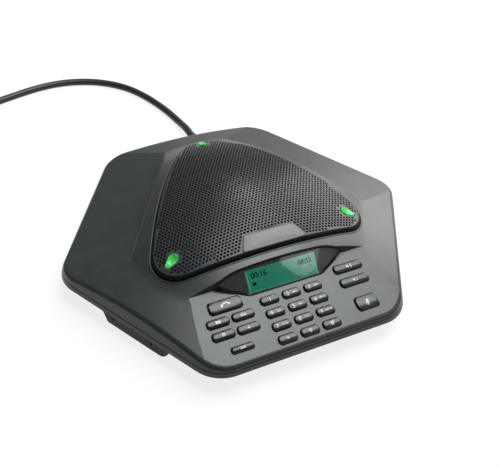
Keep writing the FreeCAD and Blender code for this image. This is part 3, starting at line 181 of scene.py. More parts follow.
# Print on the keys and the screen: how thick, how far above, and the size of its characters
LEGEND_THICK = 0.05
LEGEND_LIFT = 0.02
PRINT_STEP = 0.6
DIGIT_HIGH = 4.4
SIGN_HIGH = 5.0
LETTERS_HIGH = 2.1
DIGIT_WEIGHT = 0.04
LETTERS_WEIGHT = 0.02
DIGIT_AT = -3.4
LETTERS_AT = 2.4
ICON_SCALE = 1.15

# The display: its plane, its curved window with the dark bead round it that paints the shadow at
# its edge, and the glass
LENS_D = 87.0
LENS_TILT = math.radians(48.0)
LENS_R = 400.0
EYE_HALF = 54.7
EYE_TIP = 13.7
EYE_TOP = 22.5
EYE_TOP_R = 400.0
EYE_SHOULDER = 32.0
EYE_FLAT = 31.5          # its lower edge is straight this far, then passes the bend
EYE_BEND = (43.7, 6.0)
EYE_RISE = (5.6, 4.2)    # and is straight again from this far before its tip
# The dark bead that paints the shadow round the window: its widths, where it is thin, its inset,
# how proud and how deep it is
SHADOW_RING_WIDE = 1.8
SHADOW_RING_THIN = 0.35
SHADOW_RING_THIN_UP = 1.0       # the bead is thin below this
SHADOW_RING_IN = 0.04
SHADOW_RING_PROUD = 0.12
SHADOW_RING_DEEP = 1.0
SHADOW_RING_LAP = 0.02
GLASS_UP = -3.6
GLASS_SIZE = (59.0, 17.2)
GLASS_LOW = 0.7
MARGIN_EDGE = 0.1        # the pale margin of the screen: its outer and its inner edges
MARGIN_LEFT = 1.7
MARGIN_LOW = 0.6
MARGIN_RIGHT = 0.7

# Cable: where it leaves its sleeve, its route over the table, and its coil
CABLE_EXIT = (15.5, 157.5, 8.6)
CABLE_ROUTE = ((15.5, 167.5, 8.6), (15.4, 178.5, 6.9), (14.9, 190.0, 4.6), (13.3, 201.5, 3.75),
               (10.4, 216.0, 3.75), (4.6, 236.0, 3.75), (-3.9, 258.0, 3.75),
               (-15.6, 279.5, 3.75), (-32.5, 297.3, 3.75), (-54.5, 310.6, 3.75),
               (-81.0, 317.6, 3.75), (-109.0, 316.3, 3.75), (-139.0, 308.0, 3.75),
               (-173.0, 296.5, 3.75), (-211.0, 286.5, 5.2), (-250.0, 281.0, 5.2))
CABLE_WIDE = 7.5
COIL_R = 54.0
COIL_TURNS = 3
COIL_PITCH = 8.0
COIL_STEPS = 16          # points of the line in each turn
COIL_CLEAR = 30.0
COIL_LEAVE = (10.0, 0.7 * COIL_CLEAR)
COIL_TAIL = 56.0
TAIL_EASE = 0.6          # of a third of the tail: where its slope starts and ends
COIL_END_Z = 4.0

# Lamps: shape, the way and the distance from what they light, size and tone
MIDDLE = (0, 0, 0.03)
LAMPS = {
    "overhead": ("SQUARE", (0.25, 0.1, 0.965), 1.1, 0.8, (0.95, 0.98, 1.0)),
    "window": ("SQUARE", (0.76, 0.4, 0.52), 1.2, 0.8, (1.0, 0.97, 0.93)),
    "back_lamp": ("SQUARE", (0.33, 0.6, 0.72), 1.1, 0.24, (0.93, 0.97, 1.0)),
    "front_lamp": ("DISK", (0.484, -0.62, 0.618), 0.9, 0.36, (1.0, 1.0, 1.0)),
}
LAMP_AREA = {"SQUARE": math.pi, "DISK": math.pi ** 2 / 4}
ROOM_WAY = (1.0, 0.2, 0.0)   # the room's pale side
TABLE_HALF = 4
TABLE_SHOWN = 0.95

# The photograph's camera
CAMERA_AROUND = math.radians(-26.85)
CAMERA_ABOVE = math.radians(42.65)
CAMERA_ROLL = math.radians(3.53)
CAMERA_FAR = 605.67
CAMERA_TARGET = (19.42, 18.25, -11.28)
CAMERA_LENS = 47.3
CAMERA_SENSOR = 36.0


def mm(x, y, z=0.0):
    """A point in metres from millimetres."""
    return Vector((x, y, z)) * MM


def colour(red, green, blue):
    """A display colour, 0 to 255, as the shader's linear one."""
    def linear(value):
        share = value / 255
        return share / 12.92 if share <= 0.04045 else ((share + 0.055) / 1.055) ** 2.4
    return (linear(red), linear(green), linear(blue))


def polar(radius, degrees):
    """A flat point at a distance from the origin."""
    turn = math.radians(degrees)
    return Vector((radius * math.cos(turn), radius * math.sin(turn)))


def dome(x, y, top):
    """Height of the ball that the roof and the grille follow."""
    return top - DOME_R + math.sqrt(DOME_R ** 2 - x * x - y * y)


def on_panel(x, u, w=0.0):
    """A point of the keypad's plane: across, up the slope, and out of it."""
    return mm(x, -PANEL_D + u * math.cos(PANEL_SLOPE) - w * math.sin(PANEL_SLOPE),
              PANEL_Z + u * math.sin(PANEL_SLOPE) + w * math.cos(PANEL_SLOPE))


def on_lens(x, u, w=0.0):
    """A point of the display's plane: across, up, and out of it."""
    foot = PANEL_Z - math.tan(PANEL_SLOPE) * (LENS_D - PANEL_D)
    return mm(x, -LENS_D + u * math.cos(LENS_TILT) - w * math.sin(LENS_TILT),
              foot + u * math.sin(LENS_TILT) + w * math.cos(LENS_TILT))


# Node groups: effects that several finishes share

def add(tree, kind, inputs=None, **settings):
    """A node with its settings, and its sockets set to values or linked to other sockets."""
    node = tree.nodes.new(kind)
    for name, value in settings.items():
        setattr(node, name, value)
    for name, value in (inputs or {}).items():
        if isinstance(value, bpy.types.NodeSocket):
            tree.links.new(value, node.inputs[name])
        else:
            node.inputs[name].default_value = value
    return node


def link(tree, node, sockets):
    """Feed a node's named inputs."""
    for name, socket in sockets.items():
        tree.links.new(socket, node.inputs[name])


def maths(tree, operation, *values, **settings):
    """The outcome of one operation on values or sockets."""
    inputs = dict(enumerate(values))
    return add(tree, "ShaderNodeMath", inputs, operation=operation, **settings).outputs[0]


def ranged(tree, value, given, wanted, **settings):
    """A value carried from one range to another, and kept inside it."""
    inputs = {"Value": value, "From Min": given[0], "From Max": given[1],
              "To Min": wanted[0], "To Max": wanted[1]}
    return add(tree, "ShaderNodeMapRange", inputs, **settings).outputs[0]


def scaled(tree, tone, factor):
    """A colour made brighter or darker."""
    inputs = {0: tone, "Scale": factor}
    return add(tree, "ShaderNodeVectorMath", inputs, operation="SCALE").outputs[0]


def mixed(tree, factor, tone, other):
    """Two colours mixed."""
    inputs = {"Factor": factor, "A": tone, "B": other}
    return add(tree, "ShaderNodeMix", inputs, data_type="RGBA").outputs["Result"]


def noise(tree, place, scale, detail, roughness=0.5):
    """Soft random values."""
    inputs = {"Vector": place, "Scale": scale, "Detail": detail, "Roughness": roughness}
    return add(tree, "ShaderNodeTexNoise", inputs).outputs["Fac"]


def new_group(name, inputs, outputs):
    """A shader node group from its inputs with their defaults and the names of its outputs."""
    group = bpy.data.node_groups.new(name, "ShaderNodeTree")
    for socket, default in inputs.items():
        kind = "NodeSocketColor" if isinstance(default, tuple) else "NodeSocketFloat"
        made = group.interface.new_socket(socket, in_out="INPUT", socket_type=kind)
        made.default_value = default
    for socket in outputs:
        kind = "NodeSocketColor" if socket == "Colour" else "NodeSocketFloat"
        group.interface.new_socket(socket, in_out="OUTPUT", socket_type=kind)
    given = group.nodes.new("NodeGroupInput").outputs
    result = group.nodes.new("NodeGroupOutput")
    return group, given, result, add(group, "ShaderNodeTexCoord").outputs["Object"]


def moulded_grain():
    """Spark-eroded plastic: a fine grain, and a slow drift of tone and gloss."""
    group, given, result, place = new_group(
        "Moulded grain", {"Colour": GREY, "Drift": 0.1, "Roughness": 0.45, "Gloss Drift": 0.08,
                          "Grain per Metre": 2600.0}, ("Colour", "Roughness", "Height"))
    grain = noise(group, place, given["Grain per Metre"], 2.0, 0.55)
    slow = noise(group, place, 22.0, 3.0)
    centred = maths(group, "SUBTRACT", maths(group, "ADD", grain, slow), 1.0)
    tone = maths(group, "MULTIPLY_ADD", centred, given["Drift"], 1.0)
    off = maths(group, "SUBTRACT", slow, 0.5)
    rough = maths(group, "MULTIPLY_ADD", off, given["Gloss Drift"], given["Roughness"])
    link(group, result, {"Colour": scaled(group, given["Colour"], tone), "Roughness": rough,
                         "Height": grain})


def settled_dust():
    """A thin pale film in patches on what faces up."""
    group, given, result, place = new_group(
        "Settled dust", {"Colour": GREY, "Dust": (0.5, 0.49, 0.46, 1.0), "Amount": 0.04},
        ("Colour",))
    normal = add(group, "ShaderNodeNewGeometry").outputs["Normal"]
    facing = add(group, "ShaderNodeSeparateXYZ", {0: normal}).outputs["Z"]
    patches = ranged(group, noise(group, place, 60.0, 6.0, 0.7), (0.35, 0.75), (0.0, 1.0))
    up = maths(group, "MULTIPLY", facing, patches, use_clamp=True)
    mask = maths(group, "MULTIPLY", up, given["Amount"])
    link(group, result, {"Colour": mixed(group, mask, given["Colour"], given["Dust"])})


def brushed_grain():
    """Drawn or rolled metal: streaks along one direction."""
    group, given, result, place = new_group(
        "Brushed grain", {"Colour": (0.5, 0.5, 0.5, 1.0), "Roughness": 0.35, "Streaks": 0.2},
        ("Colour", "Roughness", "Height"))
    drawn = add(group, "ShaderNodeMapping", {"Vector": place, "Scale": (120.0, 6000.0, 6000.0)})
    streaks = noise(group, drawn.outputs[0], 1.0, 3.0)
    off = maths(group, "SUBTRACT", streaks, 0.5)
    tone = maths(group, "MULTIPLY_ADD", off, given["Streaks"], 1.0)
    rough = maths(group, "MULTIPLY_ADD", off, given["Streaks"], given["Roughness"])
    link(group, result, {"Colour": scaled(group, given["Colour"], tone), "Roughness": rough,
                         "Height": streaks})


def crossed_threads():
    """Cloth: two crossing sets of threads."""
    group, given, result, place = new_group(
        "Crossed threads", {"Colour": GREY, "Threads": 600.0}, ("Colour", "Height"))
    inputs = {"Vector": place, "Scale": given["Threads"], "Distortion": 0.6}
    waves = [add(group, "ShaderNodeTexWave", inputs, bands_direction=way).outputs["Fac"]
             for way in "XY"]
    weave = maths(group, "MAXIMUM", *waves)
    level = ranged(group, weave, (0.0, 1.0), (0.55, 1.1))
    link(group, result, {"Colour": scaled(group, given["Colour"], level), "Height": weave})


def board_tracks():
    """Copper tracks under the lacquer of a printed board."""
    group, given, result, place = new_group(
        "Board tracks", {"Lacquer": (0.02, 0.1, 0.04, 1.0), "Track": (0.1, 0.3, 0.1, 1.0)},
        ("Colour", "Height"))
    cells = add(group, "ShaderNodeTexBrick", {
        "Vector": place, "Scale": 180.0, "Mortar Size": 0.09, "Color1": given["Lacquer"],
        "Color2": given["Lacquer"], "Mortar": given["Track"]}, offset=0.37, squash=1.6)
    link(group, result, {"Colour": cells.outputs["Color"], "Height": cells.outputs["Fac"]})


def screen_dots():
    """The faint grid of a liquid crystal's dots, and a slow drift of its tone."""
    group, given, result, place = new_group(
        "Screen dots", {"Colour": (0.02, 0.3, 0.2, 1.0)}, ("Colour",))
    dots = add(group, "ShaderNodeTexBrick", {
        "Vector": place, "Scale": 1700.0, "Mortar Size": 0.06, "Color1": given["Colour"],
        "Color2": given["Colour"], "Mortar": scaled(group, given["Colour"], 0.8)}, offset=0.0)
    level = ranged(group, noise(group, place, 35.0, 1.0), (0.0, 1.0), (0.9, 1.1))
    link(group, result, {"Colour": scaled(group, dots.outputs["Color"], level)})


# Finishes

def principled(name, plain=None):
    """A node material; plain values stand on the shader's own sockets."""
    material = bpy.data.materials.new(name)
    material.use_nodes = True
    shader = material.node_tree.nodes["Principled BSDF"]
    for socket, value in (plain or {}).items():
        shader.inputs[socket].default_value = value
    return material, material.node_tree, shader


def effect(tree, group_name, inputs):
    """What a shared effect puts out, placed with its own values."""
    group = bpy.data.node_groups[group_name]
    return add(tree, "ShaderNodeGroup", inputs, node_tree=group).outputs


def bump(tree, height, strength, depth):
    """Normals of a relief, its depth in millimetres."""
    inputs = {"Height": height, "Strength": strength, "Distance": depth * MM}
    return add(tree, "ShaderNodeBump", inputs).outputs["Normal"]


def plastic(name, tone, roughness, grain=2600.0, drift=0.12, depth=0.02, dust=0.0, plain=None):
    """Moulded plastic, rubber or paint of one tone."""
    material, tree, shader = principled(name, plain)
    grained = effect(tree, "Moulded grain", {"Colour": (*tone, 1.0), "Drift": drift,
                                             "Roughness": roughness, "Grain per Metre": grain})
    shade = grained["Colour"]
    if dust:
        shade = effect(tree, "Settled dust", {"Colour": shade, "Amount": dust})["Colour"]
    link(tree, shader, {"Base Color": shade, "Roughness": grained["Roughness"],
                        "Normal": bump(tree, grained["Height"], 0.35, depth)})
    return material


def metal(name, tone, roughness, streaks=0.15):
    """Plated, drawn or turned metal."""
    material, tree, shader = principled(name, {"Metallic": 1.0})
    grained = effect(tree, "Brushed grain", {"Colour": (*tone, 1.0), "Roughness": roughness,
                                             "Streaks": streaks})
    link(tree, shader, {"Base Color": grained["Colour"], "Roughness": grained["Roughness"],
                        "Normal": bump(tree, grained["Height"], 0.2, 0.01)})
    return material


def woven(name, tone, roughness, threads):
    """Cloth of one tone."""
    material, tree, shader = principled(name, {"Sheen Weight": 0.3, "Roughness": roughness})
    cloth = effect(tree, "Crossed threads", {"Colour": (*tone, 1.0), "Threads": threads})
    link(tree, shader, {"Base Color": cloth["Colour"],
                        "Normal": bump(tree, cloth["Height"], 0.5, 0.1)})
    return material


def laminate(name, tone, track):
    """A printed board: tracks under the green lacquer."""
    material, tree, shader = principled(name, {"Coat Weight": 0.3})
    tracks = effect(tree, "Board tracks", {"Lacquer": (*tone, 1.0), "Track": (*track, 1.0)})
    grained = effect(tree, "Moulded grain", {"Colour": tracks["Colour"], "Roughness": 0.35,
                                             "Drift": 0.2})
    link(tree, shader, {"Base Color": grained["Colour"], "Roughness": grained["Roughness"],
                        "Normal": bump(tree, tracks["Height"], 0.3, 0.03)})
    return material


def clear(name, tint, roughness, ior, weight=1.0):
    """Clear or tinted moulding that shows what lies behind."""
    material, tree, shader = principled(name, {"Transmission Weight": weight, "IOR": ior})
    grained = effect(tree, "Moulded grain", {"Colour": (*tint, 1.0), "Drift": 0.02,
                                             "Roughness": roughness, "Gloss Drift": 0.02,
                                             "Grain per Metre": 300.0})
    link(tree, shader, {"Base Color": grained["Colour"], "Roughness": grained["Roughness"]})
    return material


def glowing_light(name, tone, glow):
    """Green light guide: brightest near its narrow end, under a frosted and dappled skin."""
    material, tree, shader = principled(name, {"Emission Strength": glow, "Roughness": 0.55,
                                               "Specular IOR Level": 0.3})
    place = add(tree, "ShaderNodeTexCoord").outputs["Object"]
    flat = add(tree, "ShaderNodeVectorMath", {0: place, 1: (1.0, 1.0, 0.0)},
               operation="MULTIPLY").outputs[0]
    out = add(tree, "ShaderNodeVectorMath", {0: flat}, operation="LENGTH").outputs["Value"]
    off = maths(tree, "SUBTRACT", out, (LIGHT_AT + LIGHT_CORE) * MM)
    core = ranged(tree, maths(tree, "ABSOLUTE", off), (0.0, LIGHT_REACH * MM), (1.0, 0.2))
    frost = add(tree, "ShaderNodeTexVoronoi", {"Vector": place, "Scale": 420.0})
    frost = frost.outputs["Distance"]
    spots = ranged(tree, frost, (0.1, 0.7), (1.15, 0.6))
    pale = mixed(tree, ranged(tree, core, (0.6, 1.0), (0.0, 0.3)), (*tone, 1.0),
                 (0.5, 1.0, 0.5, 1.0))
    shade = scaled(tree, pale, maths(tree, "MULTIPLY", core, spots))
    link(tree, shader, {"Base Color": shade, "Emission Color": shade,
                        "Normal": bump(tree, frost, 0.3, 0.1)})
    return material


def lit_screen(name, tone, glow):
    """Liquid crystal lit from behind."""
    material, tree, shader = principled(name, {
        "Emission Strength": glow, "Roughness": 0.08, "IOR": 2.8,
        "Specular Tint": (0.75, 1.0, 0.9, 1.0)})
    dots = effect(tree, "Screen dots", {"Colour": (*tone, 1.0)})["Colour"]
    link(tree, shader, {"Base Color": dots, "Emission Color": dots})
    return material


# Every finish of the phone: what makes it, and its values. A word stands for a value in the panel.
FINISHES = {
    "Housing": (plastic, dict(tone="housing_colour", roughness="housing_roughness", drift=0.07,
                              depth=0.014, dust=0.03)),
    # Darker than the upper cover, to paint the shade the lower cover lies in under it: painted
    # shade.
    "Shaded lower housing": (plastic, dict(tone="lower_shaded_colour", roughness=0.6, drift=0.1, depth=0.014,
                                    plain={"Specular IOR Level": 0.25})),
    "Grille paint": (plastic, dict(tone="grille_colour", roughness=0.32, grain=3500.0,
                                   drift=0.1, depth=0.01, dust=0.02,
                                   plain={"Specular IOR Level": 0.36})),
    "Plate": (plastic, dict(tone="plate_colour", roughness=0.38, grain=3200.0, drift=0.06,
                            depth=0.008, dust=0.02)),
    "Key plastic": (plastic, dict(tone="key_colour", roughness=0.24, grain=4000.0, drift=0.08,
                                  depth=0.006, dust=0.02)),
    "Legend ink": (plastic, dict(tone="legend_colour", roughness=0.5, grain=5000.0, drift=0.05,
                                 depth=0.004)),
    "Screen ink": (plastic, dict(tone=colour(2, 16, 14), roughness=0.6, grain=5000.0,
                                 drift=0.05, depth=0.004, plain={"Specular IOR Level": 0.0})),
    "Display mask": (plastic, dict(tone="mask_colour", roughness=0.42, grain=2400.0, drift=0.08,
                                   depth=0.01)),
    # Black that paints shade: the grille's sunk faces, the line round the wall and the bead round
    # the window.
    "Black plastic": (plastic, dict(tone=colour(10, 10, 11), roughness=0.6, grain=2200.0,
                                    drift=0.15, dust=0.01, plain={"Specular IOR Level": 0.2})),
    "Cable jacket": (plastic, dict(tone="cable_colour", roughness=0.42, grain=900.0,
                                   dust=0.03)),
    "Rubber": (plastic, dict(tone=colour(30, 30, 31), roughness=0.78, grain=1500.0, drift=0.2,
                             depth=0.05, dust=0.08)),
    # Foam; the ring in the grille's gap and the sheet under the holes also use it to paint shade.
    "Foam": (plastic, dict(tone=colour(16, 16, 17), roughness=0.95, grain=1800.0, drift=0.4,
                           depth=0.15)),
    "Paper pulp": (plastic, dict(tone=colour(30, 30, 32), roughness=0.85, grain=1200.0,
                                 drift=0.3, depth=0.08)),
    "Ferrite": (plastic, dict(tone=colour(52, 52, 55), roughness=0.7, grain=900.0, drift=0.25,
                              depth=0.06)),
    "Chip plastic": (plastic, dict(tone=colour(28, 28, 30), roughness=0.55, grain=2400.0,
                                   drift=0.1)),
    "Film": (plastic, dict(tone=colour(180, 120, 50), roughness=0.35, grain=800.0, drift=0.15,
                           depth=0.01)),
    "Black steel": (plastic, dict(tone=colour(32, 32, 34), roughness=0.45, drift=0.1)),
    "Board": (laminate, dict(tone=colour(24, 84, 46), track=colour(50, 116, 64))),
    "Light board": (laminate, dict(tone=colour(28, 92, 52), track=colour(52, 120, 70))),
    "Zinc": (metal, dict(tone=(0.62, 0.62, 0.6), roughness=0.35)),
    "Screw steel": (metal, dict(tone=(0.55, 0.55, 0.56), roughness=0.3)),
    "Copper": (metal, dict(tone=(0.72, 0.36, 0.2), roughness=0.35)),
    "Spider cloth": (woven, dict(tone=(0.45, 0.3, 0.1), roughness=0.8, threads=700.0)),
    "Tie cloth": (woven, dict(tone=(0.02, 0.02, 0.022), roughness=0.9, threads=500.0)),
    "Lens": (clear, dict(tint=(0.86, 0.88, 0.88), roughness=0.03, ior=1.49)),
    "Clear plug": (clear, dict(tint=(0.85, 0.87, 0.87), roughness=0.12, ior=1.5, weight=0.85)),
    "Light guide": (glowing_light, dict(tone="light_colour", glow="light_glow")),
    "Screen": (lit_screen, dict(tone="screen_colour", glow="screen_glow")),
    "Screen margin": (lit_screen, dict(tone=colour(96, 168, 148), glow=0.35)),
    "Backlight": (lit_screen, dict(tone=colour(120, 200, 170), glow=0.3)),
}


def finish(name):
    """A finish of this phone by name, made when it is first asked for."""
    known = bpy.data.materials.get(name)
    if known:
        return known
    look = bpy.context.scene.phone_look
    make, values = FINISHES[name]
    return make(name, **{key: getattr(look, value) if isinstance(value, str) else value
                         for key, value in values.items()})


# Making pieces

def placed(name, data):
    """A new object in the scene."""
    made = bpy.data.objects.new(name, data)
    bpy.context.scene.collection.objects.link(made)
    return made


def shade_smooth(mesh, angle):
    """Smooth shading, with a sharp edge where two faces turn by more than an angle."""
    mesh.shade_smooth()
    mesh.set_sharp_from_angle(angle=math.radians(angle))


def piece(name, points, faces, finish_name, slot, body="housing", smooth=30.0):
    """A mesh piece from points in metres, with a finish, that rides on a body; its slot is not
    used.
    """
    mesh = bpy.data.meshes.new(name)
    mesh.from_pydata([tuple(p) for p in points], [], faces)
    made = placed(name, mesh)
    shaped = bmesh.new()
    shaped.from_mesh(mesh)
    bmesh.ops.recalc_face_normals(shaped, faces=shaped.faces)
    shaped.to_mesh(mesh)
    shaped.free()
    shade_smooth(mesh, smooth)
    mesh.materials.append(finish(finish_name))
    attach(made, body)
    return made


def wear(node_name, finish_name, smooth=None):
    """Give a CAD node its finish."""
    mesh = NODES[node_name].data
    mesh.materials.clear()
    mesh.materials.append(finish(finish_name))
    if smooth:
        shade_smooth(mesh, smooth)


def loft(rings, hoop=False):
    """Points and faces of a solid through rings of the same count; a hoop joins last to first."""
    count = len(rings[0])
    points = [p for ring in rings for p in ring]
    faces = []
    for i in range(len(rings) if hoop else len(rings) - 1):
        here = i * count
        there = (i + 1) % len(rings) * count
        for k in range(count):
            turned = (k + 1) % count
            faces.append((here + k, here + turned, there + turned, there + k))
    if not hoop:
        last = (len(rings) - 1) * count
        faces += [tuple(reversed(range(count))), tuple(range(last, last + count))]
    return points, faces


def thick_sheet(top, low, faces):
    """A closed sheet from its upper and lower points, which share their faces."""
    count = len(top)
    edges = {(a, b) for face in faces for a, b in zip(face, face[1:] + face[:1])}
    walls = [(a, a + count, b + count, b) for a, b in edges if (b, a) not in edges]
    under = [tuple(i + count for i in reversed(face)) for face in faces]
    return top + low, list(faces) + walls + under


def merge(parts):
    """Several sets of points and faces as one."""
    points = []
    faces = []
    for more_points, more_faces in parts:
        start = len(points)
        points += more_points
        faces += [tuple(start + i for i in face) for face in more_faces]
    return points, faces


# Outlines

def rounding(radius, angles):
    """How far in and how far down a rounded edge is, at angles up from its side."""
    turns = [math.radians(angle) for angle in angles]
    return [(radius * (1 - math.cos(turn)), radius * (1 - math.sin(turn))) for turn in turns]


def fan(centre, radius, start, turn, steps):
    """Flat points round a centre, from an angle through a turn, with both ends."""
    return [centre + polar(radius, start + turn * k / steps) for k in range(steps + 1)]


def swing(centre, radius, start, turn, steps):
    """Flat points of an arc, without its end; the angles are radians."""
    angles = [start + turn * k / steps for k in range(steps)]
    return [centre + radius * Vector((math.cos(a), math.sin(a))) for a in angles]


def rounded_box(width, height, radius, steps=6):
    """Corner arcs of a rectangle about the origin, counter-clockwise, as flat points."""
    points = []
    for corner, (a, b) in enumerate(((1, 1), (-1, 1), (-1, -1), (1, -1))):
        centre = Vector((a * (width / 2 - radius), b * (height / 2 - radius)))
        points += fan(centre, radius, 90 * corner, 90, steps)
    return points


def inset(outline, distance):
    """A convex outline moved inwards, point by point along its corner's middle."""
    count = len(outline)
    moved = []
    for i, point in enumerate(outline):
        before = (point - outline[i - 1]).normalized()
        after = (outline[(i + 1) % count] - point).normalized()
        normal = Vector((-(before + after).y, (before + after).x)).normalized()
        lean = max(0.5, normal.dot(Vector((-after.y, after.x))))
        moved.append(point + normal * distance / lean)
    return moved


def inside(point, outline):
    """True if a flat point lies inside an outline."""
    hit = False
    for i, a in enumerate(outline):
        b = outline[i - 1]
        if (a.y > point.y) != (b.y > point.y):
            if point.x < (b.x - a.x) * (point.y - a.y) / (b.y - a.y) + a.x:
                hit = not hit
    return hit


def in_any(point, outlines):
    """True if a flat point lies inside one of several outlines."""
    return any(inside(point, outline) for outline in outlines)


def on_dome(outline, top, drop=0.0):
    """An outline laid on the dome of a level, or a drop below it."""
    return [mm(p.x, p.y, dome(p.x, p.y, top) - drop) for p in outline]


def at_level(outline, level):
    """An outline laid flat at a level."""
    return [mm(p.x, p.y, level) for p in outline]


def domed_plate(outline, top, low, edge):
    """A thin plate that follows the dome between two levels, with a rounded upper edge."""
    rings = [on_dome(outline, low)]
    for across, drop in rounding(edge, (0, 22.5, 45, 67.5, 90)):
        rings.append(on_dome(inset(outline, across), top, drop))
    inner = inset(outline, edge)
    middle = sum(inner, Vector((0, 0))) / len(inner)
    for share in (0.7, 0.4, 0.12):
        rings.append(on_dome([middle + (p - middle) * share for p in inner], top))
    return loft(rings)


def cut_sheet(loose, outlines, is_open):
    """Points and faces of a flat sheet without its openings, and what each point comes from."""
    flat = list(loose)
    edges = []
    for outline in outlines:
        start = len(flat)
        count = len(outline)
        flat += outline
        edges += [(start + i, start + (i + 1) % count) for i in range(count)]
    points, _, faces, sources, _, _ = delaunay_2d_cdt(flat, edges, [], 1, MERGE)
    kept = [tuple(face) for face in faces
            if not is_open(sum((points[i] for i in face), Vector((0, 0))) / len(face))]
    return points, kept, sources


# The grille

def grille_outline(grow, step):
    """The grille's outline as flat points: three corner arcs and three long side arcs."""
    reach = GRILLE_POINT - GRILLE_CORNER
    inner = GRILLE_SIDE - GRILLE_CORNER
    side_centre = (reach ** 2 - inner ** 2) / (2 * (inner - reach / 2))
    side_r = side_centre + GRILLE_SIDE + grow
    points = []
    for point in POD_SIDES:
        corner = polar(reach, point)
        before = polar(side_centre, point + 120)
        after = polar(side_centre, point + 240)
        follow = polar(reach, point + 120)
        arcs = ((corner, GRILLE_CORNER + grow, corner - before, corner - after),
                (after, side_r, corner - after, follow - after))
        for centre, radius, first, last in arcs:
            start = math.atan2(first.y, first.x)
            turn = (math.atan2(last.y, last.x) - start) % (2 * math.pi)
            points += swing(centre, radius, start, turn, max(3, round(turn * radius / step)))
    return points


def teardrop(grow, side, steps=10):
    """Outline of a status light, its wide end towards the middle."""
    wide = LIGHT_WIDE / 2
    narrow = LIGHT_NARROW / 2
    span = LIGHT_LONG - wide - narrow
    lean = math.degrees(math.asin((wide - narrow) / span))
    wide_at = Vector((LIGHT_AT - LIGHT_LONG / 2 + wide, 0))
    narrow_at = Vector((LIGHT_AT + LIGHT_LONG / 2 - narrow, 0))
    points = fan(narrow_at, narrow + grow, -90 + lean, 180 - 2 * lean, steps)
    points += fan(wide_at, wide + grow, 90 - lean, 180 + 2 * lean, steps)
    spin = Matrix.Rotation(math.radians(side), 2)
    return [spin @ p for p in points]


def badge_outline(grow):
    """Outline of the blank plate, its corners rounded."""
    top_d, top_half = BADGE_TOP
    low_d, low_half = BADGE_LOW
    corners = [Vector((-low_half, low_d)), Vector((low_half, low_d)),
               Vector((top_half, top_d)), Vector((-top_half, top_d))]
    points = []
    for i, corner in enumerate(corners):
        before = (corners[i - 1] - corner).normalized()
        after = (corners[(i + 1) % 4] - corner).normalized()
        half = math.acos(before.dot(after)) / 2
        centre = corner + (before + after).normalized() * BADGE_CORNER / math.sin(half)
        start = math.degrees(math.atan2(before.x, -before.y))
        points += fan(centre, BADGE_CORNER, start, 180 - math.degrees(2 * half), 5)
    return inset(points, -grow) if grow else points


def light_openings(grow):
    """Outlines of the openings for the three lights."""
    return [teardrop(grow, side) for side in POD_SIDES]


def grille_holes(pitch, width):
    """Middles of the round holes, in staggered rows, clear of the rim, lights and plate."""
    margin = HOLE_MARGIN + width / 2
    zone = grille_outline(-GRILLE_GAP - GRILLE_FILLET - RIM_MARGIN - width / 2, ZONE_STEP)
    whole = light_openings(margin) + [badge_outline(margin)]
    columns = int(GRILLE_POINT / pitch) + 2
    rows = int(columns * 1.2)
    apart = ROW_SHARE * pitch
    grid = [Vector(((column + row % 2 / 2) * pitch, row * apart))
            for row in range(-rows, rows) for column in range(-columns, columns)]
    return [point for point in grid if inside(point, zone) and not in_any(point, whole)]


def perforated_plate(pitch, width, thick):
    """The grille: a domed sheet with its holes, a rounded rim and a skirt, closed below."""
    levels = rounding(GRILLE_FILLET, (0, 30, 60, 90))
    levels += [(GRILLE_RIM, 0.0), (GRILLE_RIM + RIM_WALL, 0.0)]
    rims = [grille_outline(-GRILLE_GAP - across, RIM_STEP) for across, _ in levels]
    drops = [drop for (_, drop), rim in zip(levels, rims) for _ in rim]
    openings = light_openings(LIGHT_CLEAR) + [badge_outline(BADGE_CLEAR)]
    middles = grille_holes(pitch, width)
    corners = [polar(width / 2, 360 * (k + 0.5) / HOLE_SIDES) for k in range(HOLE_SIDES)]
    holes = [[middle + corner for corner in corners] for middle in middles]
    apart = ROW_SHARE * pitch
    taken = {(round(m.x / pitch * 2), round(m.y / apart)) for m in middles}

    def is_open(spot):
        """True if a flat point lies in a hole or another opening."""
        for row in (round(spot.y / apart) + k for k in (0, 1, -1)):
            half = row % 2
            column = round(spot.x / pitch - half / 2) * 2 + half
            middle = Vector((column / 2 * pitch, row * apart))
            near = (spot - middle).length < width / 2 * HOLE_CORE
            if near and (column, row) in taken:
                return True
        return in_any(spot, openings)

    points, faces, sources = cut_sheet([], rims + openings + holes, is_open)
    sunk = [max((drops[s] for s in source if s < len(drops)), default=0.0) for source in sources]
    skirt = grille_outline(-GRILLE_GAP - GRILLE_RIM - RIM_WALL / 2, RIM_STEP)
    deep = [thick if inside(p, skirt) else GRILLE_SKIRT for p in points]
    top, low = ([mm(p.x, p.y, dome(p.x, p.y, GRILLE_TOP) - drop) for p, drop in zip(points, down)]
                for down in (sunk, deep))
    return thick_sheet(top, low, faces)


def round_the_grille(name, section, finish_name, slot):
    """A ring round the opening, from its section: distance outwards, and height over the roof."""
    roof = NODES["top_cover"].data
    tree = BVHTree.FromPolygons([v.co for v in roof.vertices], [p.vertices for p in roof.polygons])
    edge = grille_outline(0, RIM_STEP)
    above = at_level(inset(edge, -LIP_R), GRILLE_TOP)
    roof_at = [tree.ray_cast(point, (0, 0, -1))[0].z / MM for point in above]
    rings = [[mm(p.x, p.y, level + up) for p, level in zip(inset(edge, -out), roof_at)]
             for out, up in section]
    piece(name, *loft(rings, hoop=True), finish_name, slot)


